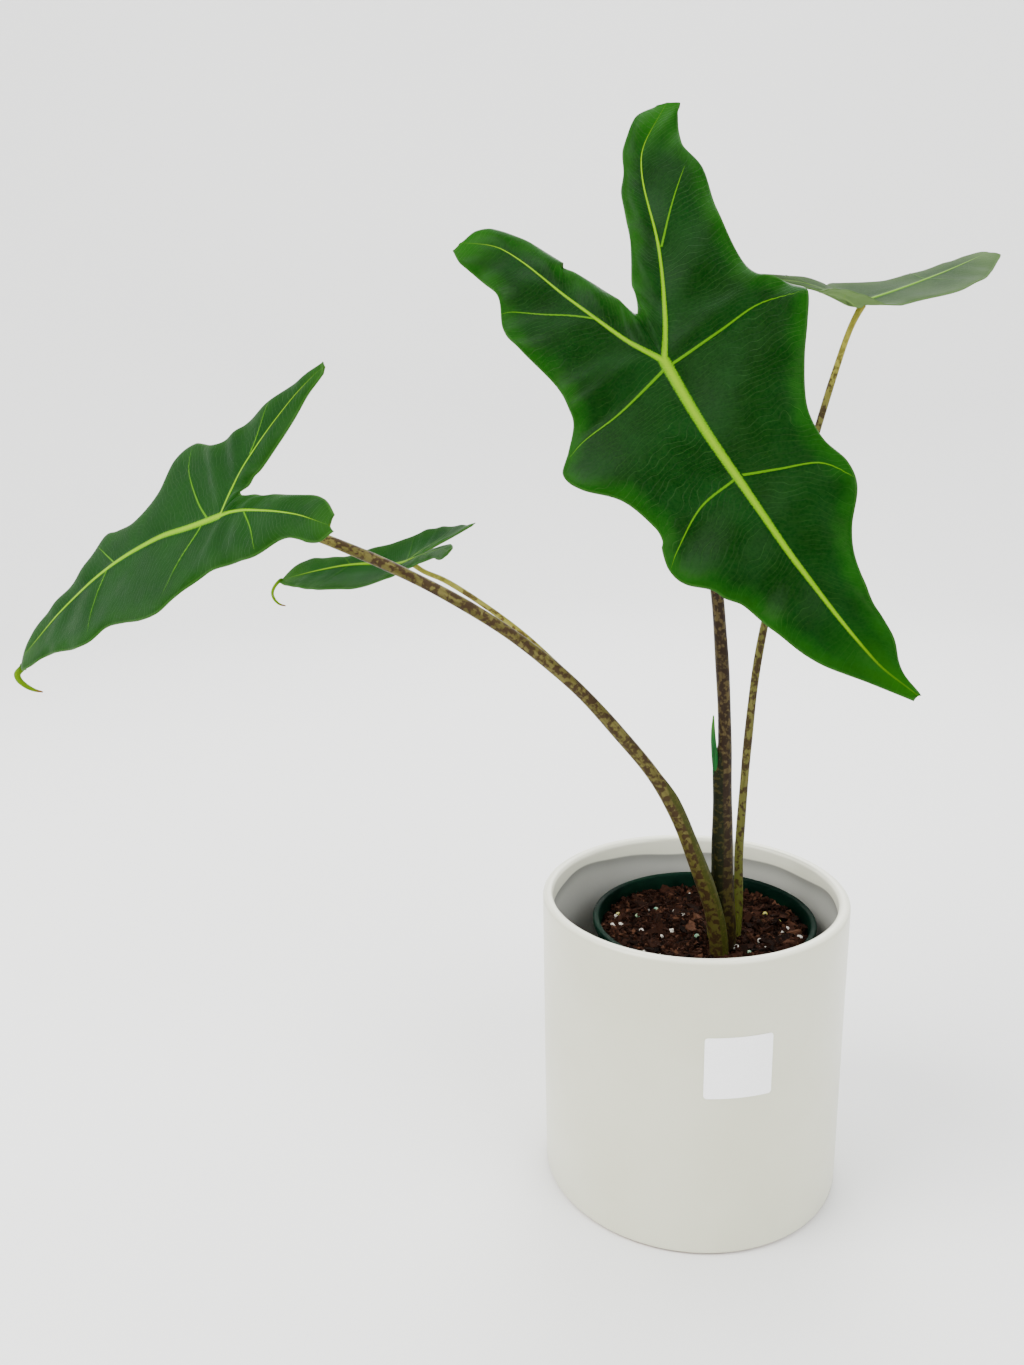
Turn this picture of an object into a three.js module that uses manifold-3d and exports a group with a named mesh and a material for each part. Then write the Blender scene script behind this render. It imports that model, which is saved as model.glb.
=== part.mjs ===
// A potted arrow-leaved alocasia with four leaves and one rolled new leaf.
// Millimetres, +Z up. The origin is the middle of the outer pot's flat underside.

import * as THREE from "three";
import { mergeVertices } from "three/addons/utils/BufferGeometryUtils.js";
import Module from "manifold-3d";

// Driving dimensions

const CLEARANCE = 0.3; // between pieces that touch

const OUTER_POT = { radius: 76, height: 155, wall: 5.5, floor: 9.7, rimRound: 2.4, footRound: 3.5 };
const STICKER = { width: 32, height: 31, corner: 3, thickness: 0.4, azimuth: -83, middle: 102 };
const NURSERY_POT = {
  centre: [6.5, 7],
  height: 127,
  topRadius: 54.6,
  footRadius: 43,
  wall: 1.1,
  floor: 1.3,
  lipWidth: 2,
  lipHeight: 3,
  drainHoles: 4,
  drainRadius: 4,
  drainCircle: 31,
};
const SOIL = { belowRim: 12, swell: 1.6, barkChips: 34, perlite: 26, seed: 20 };
const RHIZOME = { centre: [12.5, -11.5], radius: 15.5, crown: 112, depth: 26 };
const BLADE_THICKNESS = 0.8;
const RIB = { depth: 2.2, width: 2.4, sideDepth: 0.5, sideWidth: 1.8 };

// Blade outlines, in millimetres in the flat blade. "along" runs from the stalk's seat to the tip
// and "across" to the left of it. A row is [root, along, across]: root says where the side vein
// that ends there leaves the skeleton, counted along the midrib from the seat to the tip, and
// counted down from 0 along the lobe's own rib. neck is where the thin tail of a tip begins.

const FRONT_OUTLINE = {
  length: 168,
  lobe: 120,
  sideVeins: [-88, -50, -18, 4, 61, 100, 130],
  strongVeins: [-50, 4, 61],
  midrib: [[0, 0, 0], [33, 33, -2], [61, 61, -2], [104, 104, -1], [149, 149, 4], [168, 167, 11]],
  left: {
    rib: [[-120, -112, 64], [-95, -93, 41], [-50, -47, 24], [-18, -17, 10], [0, 0, 0]],
    outer: [
      [-120, -109, 69], [-106, -103, 65], [-85, -87, 59], [-70, -72, 60], [-52, -50, 53],
      [-34, -28, 49], [-20, -13, 50], [-8, -4, 57], [3, 6, 61], [11, 18, 54], [23, 31, 46],
      [36, 46, 37], [47, 62, 32], [57, 78, 37], [66, 89, 34], [78, 101, 24], [92, 113, 18],
      [108, 126, 15], [132, 144, 15], [153, 157, 13], [168, 167.5, 11.7],
    ],
    inner: [
      [-120, -114, 60], [-108, -114, 50], [-90, -103, 38], [-66, -82, 26], [-48, -65, 20],
      [-26, -46, 10], [0, -27, 2],
    ],
  },
  right: {
    rib: [[-120, -108, -44], [-95, -91, -30], [-50, -50, -18], [-18, -18, -8], [0, 0, 0]],
    outer: [
      [-120, -106, -50], [-106, -97, -48], [-85, -82, -45], [-70, -70, -43], [-52, -57, -48],
      [-34, -40, -46], [-20, -18, -42], [-8, -3, -44], [3, 12, -52], [11, 20, -58], [23, 31, -55],
      [36, 45, -44], [47, 61, -39], [57, 78, -43], [66, 87, -41], [78, 95, -31], [92, 106, -25],
      [108, 119, -20], [132, 139, -12], [153, 156, 1], [168, 167.5, 9.8],
    ],
    inner: [
      [-120, -109, -42], [-108, -104, -30], [-90, -92, -20], [-66, -74, -12], [-48, -62, -8],
      [-26, -45, -3], [0, -27, 2],
    ],
  },
};

const LEFT_OUTLINE = {
  length: 187,
  neck: 161,
  lobe: 78,
  sideVeins: [-56, -24, -10, 4, 84, 112, 136],
  strongVeins: [-24, 4, 84],
  midrib: [[0, 0, 0], [21, 21, -5], [45, 45, -11], [84, 84, -14], [126, 126, -9], [158, 159, 0],
    [187, 188, 5]],
  left: {
    rib: [[-78, -66, 39], [-56, -48, 24], [-24, -21, 8], [-10, -8, 2], [0, 0, 0]],
    outer: [
      [-78, -67, 42], [-66, -60, 42], [-52, -50, 36], [-38, -38, 31], [-26, -24, 32],
      [-14, -8, 28], [-4, 8, 26], [6, 26, 27], [18, 38, 30], [32, 52, 27], [48, 66, 22],
      [62, 80, 18], [76, 92, 20], [90, 104, 18], [108, 120, 14], [128, 136, 11], [148, 152, 8],
      [160, 162, 3.4], [187, 188, 5.6],
    ],
    inner: [[-78, -67, 35], [-64, -62, 25], [-44, -50, 15], [-24, -33, 6], [0, -12, -5]],
  },
  right: {
    rib: [[-78, -61, -40], [-56, -43, -34], [-24, -18, -20], [-10, -7, -10], [0, 0, 0]],
    outer: [
      [-78, -60, -43], [-66, -50, -43], [-52, -38, -43], [-38, -25, -43], [-26, -14, -40],
      [-14, -2, -38], [-4, 9, -40], [6, 23, -49], [18, 37, -48], [32, 48, -36], [48, 65, -32],
      [62, 80, -33], [76, 92, -35], [90, 104, -30], [108, 118, -22], [128, 137, -17],
      [148, 152, -10], [160, 164, -1], [187, 188, 4.4],
    ],
    inner: [[-78, -60, -37], [-64, -50, -30], [-44, -36, -18], [-24, -24, -11], [0, -12, -5]],
  },
};

const BACK_LEFT_OUTLINE = {
  length: 188,
  neck: 158,
  lobe: 78,
  sideVeins: [-56, -24, -10, 4, 84, 112, 136],
  strongVeins: [-24, 4, 84],
  midrib: [[0, 0, 0], [21, 21, -5], [45, 45, -11], [84, 84, -14], [126, 128, -9], [158, 162, 0],
    [188, 192, 5]],
  left: {
    rib: [[-78, -76, 33], [-56, -58, 20], [-24, -25, 7], [-10, -10, 2], [0, 0, 0]],
    outer: [
      [-78, -77, 37], [-66, -70, 39], [-52, -59, 33], [-38, -45, 24], [-26, -28, 20],
      [-14, -11, 17], [-4, 6, 18], [6, 22, 22], [18, 36, 26], [32, 52, 28], [48, 68, 27],
      [62, 83, 26], [76, 95, 26], [90, 106, 23], [108, 124, 18], [128, 140, 13], [148, 154, 7],
      [160, 165, 2.8], [188, 192, 5.6],
    ],
    inner: [[-78, -78, 30], [-64, -72, 21], [-44, -59, 13], [-24, -35, 4], [0, -8, -3]],
  },
  right: {
    rib: [[-78, -37, -53], [-56, -26, -45], [-24, -11, -26], [-10, -4, -13], [0, 0, 0]],
    outer: [
      [-78, -37, -58], [-66, -30, -61], [-52, -22, -64], [-38, -14, -66], [-26, -7, -62],
      [-14, 1, -56], [-4, 9, -50], [6, 21, -44], [18, 34, -41], [32, 50, -37], [48, 67, -35],
      [62, 79, -32], [76, 91, -29], [90, 104, -28], [108, 123, -25], [128, 143, -20],
      [148, 157, -11], [160, 166, -1.4], [188, 192, 4.4],
    ],
    inner: [[-78, -36, -49], [-64, -30, -40], [-44, -22, -26], [-24, -14, -14], [0, -8, -3]],
  },
};

const RIGHT_OUTLINE = {
  length: 168,
  lobe: 120,
  sideVeins: [-88, -50, -18, 4, 61, 100, 130],
  strongVeins: [-50, 4, 61],
  midrib: [[0, 0, 0], [33, 33, -2], [61, 61, -2], [104, 104, -1], [149, 151, 3], [168, 172, 6]],
  left: {
    rib: [[-120, -118, 44], [-95, -98, 28], [-50, -50, 17], [-18, -18, 7], [0, 0, 0]],
    outer: [
      [-120, -117, 48], [-106, -108, 42], [-85, -90, 35], [-70, -74, 33], [-52, -52, 34],
      [-34, -29, 38], [-20, -12, 44], [-8, -2, 51], [3, 7, 58], [11, 19, 57], [23, 32, 51],
      [36, 47, 42], [47, 61, 35], [57, 75, 32], [66, 87, 31], [78, 103, 26], [92, 118, 23],
      [108, 132, 20], [132, 150, 17], [153, 163, 14], [168, 172.6, 7],
    ],
    inner: [
      [-120, -120, 43], [-108, -120, 35], [-90, -107, 26], [-66, -84, 18], [-48, -65, 13],
      [-26, -45, 7], [0, -26, 2],
    ],
  },
  right: {
    rib: [[-120, -91, -40], [-95, -76, -27], [-50, -42, -16], [-18, -15, -7], [0, 0, 0]],
    outer: [
      [-120, -89, -45], [-106, -82, -42], [-85, -69, -39], [-70, -58, -36], [-52, -45, -34],
      [-34, -31, -34], [-20, -16, -40], [-8, -1, -49], [3, 11, -44], [11, 19, -38], [23, 31, -32],
      [36, 45, -30], [47, 61, -32], [57, 76, -38], [66, 86, -41], [78, 97, -42], [92, 111, -41],
      [108, 126, -37], [132, 147, -27], [153, 164, -9], [168, 172.4, 5],
    ],
    inner: [
      [-120, -92, -37], [-108, -86, -30], [-90, -75, -22], [-66, -60, -14], [-48, -50, -8],
      [-26, -37, -3], [0, -26, 2],
    ],
  },
};

// Blades in place. scale turns outline units into millimetres. heading is the compass direction
// of the tip, dip how far it points below the horizon and roll the turn about the midrib, in
// degrees. droop lists where along the midrib a bend starts and its curvature per millimetre, and
// lobeDroop does so for the lobes. fold and lobeFold are how far the left and the right half rise
// from the midrib, in degrees. curl is the curvature of the halves towards their margins, swell
// the height of the blade between two side veins, and wave that of the margin.

const BLADES = {
  front: {
    outline: FRONT_OUTLINE, scale: 1, seat: [-24, -40, 407],
    heading: -52, dip: 46, roll: 45,
    droop: [[0, 0], [50, 0.002], [120, 0.004]], lobeDroop: [[0, 0.0005]],
    fold: [4, 4], lobeFold: [4, 4], curl: 0.002, swell: 1.8, wave: 1.6,
  },
  left: {
    outline: LEFT_OUTLINE, scale: 1, seat: [-205, -60, 351],
    heading: 149, dip: 26, roll: -56,
    droop: [[0, 0], [60, 0.0005], [158, 0.01], [168, 0.28], [172.5, 0.05]],
    lobeDroop: [[0, 0.0005]],
    fold: [4, 4], lobeFold: [4, 4], curl: 0.001, swell: 1.6, wave: 1.2,
  },
  back_left: {
    outline: BACK_LEFT_OUTLINE, scale: 0.548, seat: [-136.6, 15, 321.9],
    heading: 138, dip: 25, roll: -26,
    droop: [[0, -0.0127], [27, 0], [89.5, 0.17]], lobeDroop: [[0, 0]],
    fold: [1, 12], lobeFold: [-11, -19], curl: -0.005, swell: 1, wave: 0.8,
  },
  right: {
    outline: RIGHT_OUTLINE, scale: 0.552, seat: [82.8, 50, 434],
    heading: 27.3, dip: -16.4, roll: 13.4,
    droop: [[0, 0], [28, -0.0006]], lobeDroop: [[0, -0.07], [8, 0.01]],
    fold: [-6, 2], lobeFold: [12, 11], curl: -0.0116, swell: 1, wave: 0.8,
  },
};

// Stalks from the rhizome to the blade: rows of [x, y, z, diameter].

const STALKS = {
  front: [
    [16, -12.5, 112.3, 9], [15, -13, 128, 9.6], [13.4, -14, 155, 8.8], [12.4, -15, 177, 7.6],
    [11.6, -16, 198, 7], [10.4, -18, 219, 6.6], [9.5, -19.5, 239, 6.3], [8.2, -21, 259, 6.2],
    [5.3, -24, 288, 6], [1.9, -28, 313, 5.6], [-3.7, -30, 342, 5.2], [-10.5, -31, 371, 5],
    [-17, -32, 393, 4.8], [-21, -34.6, 402, 4.6],
  ],
  left: [
    [9, -21, 112.3, 7], [8.6, -21.5, 134, 7.6], [5.6, -22.5, 152, 7.6], [1.4, -24, 166, 7.2],
    [-4, -26, 181, 6.8], [-14.6, -30, 208, 6.5], [-24, -33, 225.5, 6.2], [-40, -37, 247, 5.9],
    [-62, -42, 273, 5.6], [-89, -46, 297, 5.3], [-118, -49, 316.5, 5], [-152, -50, 334, 4.7],
    [-179, -52, 345, 4.4], [-196, -55.5, 348.5, 4.2],
  ],
  back_left: [
    [9.5, -4, 112.3, 4.6], [9, -4.5, 134, 4.8], [7, -6, 155, 4.4], [3.6, -8, 174, 4],
    [-7, -11, 202, 3.7], [-17, -13, 220, 3.5], [-34, -15, 243, 3.2], [-57, -12, 267, 3],
    [-86, -6, 293, 2.7], [-118, 6, 312.3, 2.5], [-130, 12, 317, 2.4],
  ],
  right: [
    [20, -3, 112.3, 5], [21.2, -2.5, 128, 5.4], [22.4, -1, 149, 4.8], [22.9, 3, 173, 4.4],
    [25, 8, 201, 4.3], [27.5, 13, 228, 4.2], [32.8, 21, 268, 4], [44, 32, 315, 3.8],
    [62, 44, 374, 3.5], [71, 48, 403.5, 3.2], [78, 50, 424, 3],
  ],
};
const NEW_LEAF = [
  [6.6, -14, 112.3, 2.4], [7, -14.5, 134, 2.6], [7, -15.6, 160, 2.8], [6.7, -17, 180, 3],
  [6, -18.2, 199, 3], [5, -19.8, 220, 2.9], [4.1, -21, 235, 2.5], [3.5, -21.8, 244, 1.9],
  [3.5, -22.2, 252, 0.7],
];

// Looks

const finish = (color, roughness) =>
  new THREE.MeshStandardMaterial({ color, roughness, metalness: 0 });
const GLAZE = finish(0xe4e4da, 0.35);
const PAPER = finish(0xf4f4f2, 0.6);
const POT_PLASTIC = finish(0x0f3a2a, 0.4);
const SOIL_BROWN = finish(0x3a2118, 0.95);
const ROOT_BROWN = finish(0x6b5a3a, 0.9);
const STALK_DARK = finish(0x4a3a28, 0.5);
const STALK_OLIVE = finish(0x8a8a3a, 0.5);
const LEAF_DARK = finish(0x14481c, 0.35);
const LEAF_MID = finish(0x2d5f2d, 0.4);
const LEAF_YOUNG = finish(0x5f7a5a, 0.45);

const FULL_TURN = Math.PI * 2;

// Plain helpers

// A repeatable random number between 0 and 1.
function seeded(seed) {
  let state = seed;
  return () => {
    state = (state * 1664525 + 1013904223) % 4294967296;
    return state / 4294967296;
  };
}

// A smooth curve through rows whose first value is the parameter.
function through(rows, at) {
  let i = 1;
  while (i < rows.length - 1 && rows[i][0] < at) i += 1;
  const slope = (k, axis) => {
    const before = rows[Math.max(k - 1, 0)];
    const after = rows[Math.min(k + 1, rows.length - 1)];
    return (after[axis] - before[axis]) / (after[0] - before[0]);
  };
  const span = rows[i][0] - rows[i - 1][0];
  const t = THREE.MathUtils.clamp((at - rows[i - 1][0]) / span, 0, 1);
  const value = (axis) => {
    const from = rows[i - 1][axis];
    const to = rows[i][axis];
    const leave = slope(i - 1, axis) * span;
    const arrive = slope(i, axis) * span;
    return (2 * t ** 3 - 3 * t ** 2 + 1) * from + (t ** 3 - 2 * t ** 2 + t) * leave
      + (3 * t ** 2 - 2 * t ** 3) * to + (t ** 3 - t ** 2) * arrive;
  };
  return new THREE.Vector2(value(1), value(2));
}

function geometryFrom(points, triangles) {
  const geometry = new THREE.BufferGeometry();
  const flat = points.flatMap((p) => [p.x, p.y, p.z]);
  geometry.setAttribute("position", new THREE.Float32BufferAttribute(flat, 3));
  geometry.setIndex(triangles.flat());
  geometry.computeVertexNormals();
  return geometry;
}

// Blades

// The point reached after a run along consecutive arcs: how far, how deep and how steep.
function alongArcs(arcs, run) {
  let far = 0;
  let deep = 0;
  let angle = 0;
  arcs.forEach(([start, curvature], i) => {
    const end = i + 1 < arcs.length ? arcs[i + 1][0] : Infinity;
    const t = Math.min(Math.max(run - start, 0), end - start);
    const k = Math.abs(curvature) < 1e-9 ? 1e-9 : curvature;
    const ahead = Math.sin(k * t) / k;
    const down = (1 - Math.cos(k * t)) / k;
    far += Math.cos(angle) * ahead - Math.sin(angle) * down;
    deep += Math.sin(angle) * ahead + Math.cos(angle) * down;
    angle += k * t;
  });
  return { far, deep, angle };
}

// The blade's own directions: x along the midrib, y to its left, z out of its upper face.
function bladeAxes({ heading, dip, roll }) {
  const [h, d, r] = [heading, dip, roll].map(THREE.MathUtils.degToRad);
  const x = new THREE.Vector3(Math.cos(h) * Math.cos(d), Math.sin(h) * Math.cos(d), -Math.sin(d));
  const level = new THREE.Vector3(-Math.sin(h), Math.cos(h), 0);
  const up = new THREE.Vector3().crossVectors(x, level);
  const y = level.multiplyScalar(Math.cos(r)).addScaledVector(up, Math.sin(r));
  const z = new THREE.Vector3().crossVectors(x, y);
  return { x, y, z };
}

// Bends a point of the flat blade into its place.
function bladePoint(blade, flat, lift) {
  const along = flat.x * blade.scale;
  const across = flat.y * blade.scale;
  const front = alongArcs(blade.droop, Math.max(along, 0));
  const back = alongArcs(blade.lobeDroop, Math.max(-along, 0));
  const far = front.far - back.far;
  const deep = front.deep + back.deep;
  const angle = front.angle - back.angle;
  const lobeShare = 1 / (1 + Math.exp(along / (8 * blade.scale)));
  const half = across >= 0 ? 0 : 1;
  const degrees = THREE.MathUtils.lerp(blade.fold[half], blade.lobeFold[half], lobeShare);
  const fold = THREE.MathUtils.degToRad(degrees);
  const section = alongArcs([[0, blade.curl]], Math.abs(across));
  const soft = 6 * blade.scale;
  const crease = Math.sin(fold) * soft * (1 - Math.exp(-Math.abs(across) / soft));
  const out = Math.cos(fold) * section.far + Math.sin(fold) * section.deep;
  const rise = Math.sin(fold) * section.far - Math.cos(fold) * section.deep - crease + lift;
  const { x, y, z } = bladeAxes(blade);
  return new THREE.Vector3(...blade.seat)
    .addScaledVector(x, far + Math.sin(angle) * rise)
    .addScaledVector(y, Math.sign(across) * out)
    .addScaledVector(z, Math.cos(angle) * rise - deep);
}

// Where side veins leave the skeleton: closer together near the seat and past the neck of a tail,
// with three at each of the strong side veins so that these can stand out as ridges.
function veinRoots({ length, neck = length, lobe, strongVeins }, fineness) {
  const roots = [];
  const frontCount = Math.round(19 * fineness);
  const lobeCount = Math.round(13 * fineness);
  const tailCount = neck < length ? 8 : 0;
  for (let i = 0; i <= frontCount; i += 1) roots.push(neck * (i / frontCount) ** 1.4);
  for (let i = 1; i <= tailCount; i += 1) roots.push(neck + ((length - neck) * i) / tailCount);
  for (let i = 1; i <= lobeCount; i += 1) roots.push(-lobe * (i / lobeCount) ** 1.2);
  const kept = roots.filter((root) => root === 0
    || strongVeins.every((vein) => Math.abs(root - vein) > 1.4 * RIB.sideWidth));
  const ridged = strongVeins.flatMap((vein) => [vein - RIB.sideWidth, vein, vein + RIB.sideWidth]);
  return [...kept, ...ridged].sort((a, b) => a - b);
}

// How far between two strong side veins a root lies: whole numbers are at the veins.
function veinPhase({ length, lobe, sideVeins }, root) {
  const marks = [-lobe, ...sideVeins, length];
  let i = 1;
  while (i < marks.length - 1 && marks[i] < root) i += 1;
  return i - 1 + (root - marks[i - 1]) / (marks[i] - marks[i - 1]);
}

// One blade as a thin closed solid: four strips between the skeleton and the margins.
function bladeGeometry(blade, fineness) {
  const { outline } = blade;
  const roots = veinRoots(outline, fineness);
  const points = [];
  const depths = [];
  const flats = [];
  const known = new Map();
  const triangles = [];

  function vertex(flat, lift, depth) {
    const key = `${flat.x.toFixed(3)} ${flat.y.toFixed(3)}`;
    if (!known.has(key)) {
      known.set(key, points.length);
      points.push(bladePoint(blade, flat, lift * blade.scale));
      depths.push(depth * Math.sqrt(blade.scale));
      flats.push(flat);
    }
    return known.get(key);
  }

  function strip(side, margin, stripRoots, stops) {
    const columns = stripRoots.map((root) => {
      const base = through(root >= 0 ? outline.midrib : side.rib, root);
      const edge = through(margin, root);
      const vein = edge.clone().sub(base);
      const size = vein.length();
      const back = new THREE.Vector2(-vein.y, vein.x).normalize();
      if (back.x * Math.sign(root || 1) > 0) back.negate();
      const bow = 0.2 * size * Math.min(1, Math.abs(root) / 40);
      const phase = veinPhase(outline, root);
      const atRib = Math.min(RIB.width / size, 0.25);
      const reach = root >= 0 ? root / outline.length : -root / outline.lobe;
      const ribDepth = RIB.depth * (1 - 0.85 * reach);
      const ridge = outline.strongVeins.includes(root);
      return [0, atRib, ...stops].map((v, j) => {
        const flat = base.clone().addScaledVector(vein, v).addScaledVector(back, bow * v * (1 - v));
        const swell = blade.swell * 4 * v * (1 - v) * (0.5 - 0.5 * Math.cos(FULL_TURN * phase));
        const wave = blade.wave * v ** 2 * Math.sin(FULL_TURN * phase + Math.sign(edge.y));
        const calm = 1 - reach ** 4;
        const ribbed = ridge ? RIB.sideDepth * (1 - v) : 0;
        return vertex(flat, (swell + wave) * calm, j === 0 ? ribDepth : ribbed);
      });
    });
    for (let i = 1; i < columns.length; i += 1) {
      for (let j = 1; j < columns[i].length; j += 1) {
        const [a, b] = [columns[i - 1][j - 1], columns[i][j - 1]];
        const [c, d] = [columns[i][j], columns[i - 1][j]];
        triangles.push([a, b, c], [a, c, d]);
      }
    }
  }

  const lobeRoots = roots.filter((root) => root <= 0);
  for (const side of [outline.left, outline.right]) {
    strip(side, side.outer, roots, [0.3, 0.55, 0.8, 1]);
    strip(side, side.inner, lobeRoots, [0.5, 1]);
  }
  return thicken(points, flats, depths, triangles);
}

// Gives a sheet its thickness, deeper where depths says so, and closes its edge.
function thicken(points, flats, depths, sheet) {
  const area = ([a, b, c]) => (flats[b].x - flats[a].x) * (flats[c].y - flats[a].y)
    - (flats[c].x - flats[a].x) * (flats[b].y - flats[a].y);
  const upper = sheet
    .filter(([a, b, c]) => a !== b && b !== c && c !== a)
    .map((t) => (area(t) > 0 ? t : [t[0], t[2], t[1]]));
  const normals = points.map(() => new THREE.Vector3());
  for (const [a, b, c] of upper) {
    const ab = points[b].clone().sub(points[a]);
    const ac = points[c].clone().sub(points[a]);
    const normal = ab.cross(ac);
    for (const k of [a, b, c]) normals[k].add(normal);
  }
  const count = points.length;
  const lower = points.map((p, k) => p.clone()
    .addScaledVector(normals[k].normalize(), -BLADE_THICKNESS - depths[k]));
  const edges = new Set(upper.flatMap(([a, b, c]) => [`${a} ${b}`, `${b} ${c}`, `${c} ${a}`]));
  const rim = [...edges].map((edge) => edge.split(" ").map(Number))
    .filter(([a, b]) => !edges.has(`${b} ${a}`));
  return geometryFrom([...points, ...lower], [
    ...upper,
    ...upper.map(([a, b, c]) => [a + count, c + count, b + count]),
    ...rim.flatMap(([a, b]) => [[b, a, a + count], [b, a + count, b + count]]),
  ]);
}

// Stalks

// A closed round stalk through rows of [x, y, z, diameter]. Its foot is level, and its top lies in
// the plane given by a point and a direction, or ends square.
function stalkGeometry(rows, { sides = 10, extra = 0, top = null } = {}) {
  const curve = new THREE.CatmullRomCurve3(
    rows.map(([x, y, z]) => new THREE.Vector3(x, y, z)), false, "centripetal",
  );
  const steps = 2 * (rows.length - 1);
  const points = [];
  let side = new THREE.Vector3(1, 0, 0);
  for (let i = 0; i <= steps; i += 1) {
    const at = i / steps;
    const centre = curve.getPoint(at);
    const ahead = curve.getTangent(at);
    side = side.addScaledVector(ahead, -side.dot(ahead)).normalize();
    const other = new THREE.Vector3().crossVectors(ahead, side);
    const lower = rows[Math.floor(i / 2)][3];
    const upper = rows[Math.ceil(i / 2)][3];
    const radius = (lower + upper) / 4 + extra;
    for (let k = 0; k < sides; k += 1) {
      const turn = (FULL_TURN * k) / sides;
      const point = centre.clone()
        .addScaledVector(side, radius * Math.cos(turn))
        .addScaledVector(other, radius * Math.sin(turn));
      if (i === 0) point.addScaledVector(ahead, (rows[0][2] - point.z) / ahead.z);
      if (i === steps && top) {
        const gap = top.point.clone().sub(point).dot(top.normal);
        point.addScaledVector(ahead, gap / ahead.dot(top.normal));
      }
      points.push(point);
    }
  }
  const triangles = [];
  for (let i = 0; i < steps; i += 1) {
    for (let k = 0; k < sides; k += 1) {
      const next = (k + 1) % sides;
      const [a, b] = [i * sides + k, i * sides + next];
      triangles.push([a, b, b + sides], [a, b + sides, a + sides]);
    }
  }
  for (let k = 1; k < sides - 1; k += 1) {
    const last = steps * sides;
    triangles.push([0, k + 1, k], [last, last + k, last + k + 1]);
  }
  return geometryFrom(points, triangles);
}

// The plane under a blade's seat in which its stalk ends.
function seatPlane(blade) {
  const { z } = bladeAxes(blade);
  const below = BLADE_THICKNESS + RIB.depth * Math.sqrt(blade.scale) + CLEARANCE;
  return { point: new THREE.Vector3(...blade.seat).addScaledVector(z, -below), normal: z };
}

function stalkRows(rows, plane) {
  const lastDiameter = rows[rows.length - 1][3];
  return [...rows, [...plane.point.toArray(), lastDiameter]];
}

// Joining and cutting

const wasm = await Module();
wasm.setup();

function solidFrom(geometry) {
  const bare = geometry.clone();
  bare.deleteAttribute("normal");
  bare.deleteAttribute("uv");
  const merged = mergeVertices(bare, 1e-4);
  return new wasm.Manifold(new wasm.Mesh({
    numProp: 3,
    vertProperties: new Float32Array(merged.attributes.position.array),
    triVerts: new Uint32Array(merged.index.array),
  }));
}

function geometryOf(solid) {
  const mesh = solid.getMesh();
  const geometry = new THREE.BufferGeometry();
  geometry.setAttribute("position", new THREE.BufferAttribute(mesh.vertProperties, 3));
  geometry.setIndex(new THREE.BufferAttribute(mesh.triVerts, 1));
  geometry.computeVertexNormals();
  return geometry;
}

// Pots

// A body of revolution about +Z from a profile of [radius, height] rows.
function turned(profile, segments) {
  const points = profile.map(([radius, height]) => new THREE.Vector2(radius, height));
  return new THREE.LatheGeometry(points, segments).rotateX(Math.PI / 2);
}

// Quarter-round corner as [radius, height] rows, from one angle to another in degrees.
function corner(radius, height, round, from, to, steps) {
  return Array.from({ length: steps + 1 }, (_, i) => {
    const angle = THREE.MathUtils.degToRad(from + ((to - from) * i) / steps);
    return [radius + round * Math.cos(angle), height + round * Math.sin(angle)];
  });
}

function outerPotGeometry() {
  const { radius, height, wall, floor, rimRound, footRound } = OUTER_POT;
  const inside = radius - wall;
  return turned([
    [0, 0],
    ...corner(radius - footRound, footRound, footRound, -90, 0, 3),
    ...corner(radius - rimRound, height - rimRound, rimRound, 0, 90, 3),
    ...corner(inside + rimRound, height - rimRound, rimRound, 90, 180, 3),
    ...corner(inside - footRound, floor + footRound, footRound, 0, -90, 2),
    [0, floor],
  ], 64);
}

// The sticker is a thin ring round the pot, cut to a rounded rectangle.
function stickerGeometry() {
  const { width, height, corner: round, thickness, azimuth, middle } = STICKER;
  const inner = OUTER_POT.radius + CLEARANCE;
  const outer = inner + thickness;
  const [w, h] = [width / 2, height / 2];
  const ring = turned([[inner, -h - 1], [outer, -h - 1], [outer, h + 1], [inner, h + 1],
    [inner, -h - 1]], 64);
  const outline = new THREE.Shape();
  outline.moveTo(-w + round, -h);
  outline.absarc(w - round, -h + round, round, -Math.PI / 2, 0, false);
  outline.absarc(w - round, h - round, round, 0, Math.PI / 2, false);
  outline.absarc(-w + round, h - round, round, Math.PI / 2, Math.PI, false);
  outline.absarc(-w + round, -h + round, round, Math.PI, Math.PI * 1.5, false);
  const cutter = new THREE.ExtrudeGeometry(outline, {
    depth: 2 * outer, bevelEnabled: false, curveSegments: 4,
  });
  cutter.rotateX(Math.PI / 2).rotateZ(THREE.MathUtils.degToRad(azimuth + 90));
  const cut = solidFrom(ring).intersect(solidFrom(cutter));
  return geometryOf(cut).translate(0, 0, middle);
}

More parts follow.
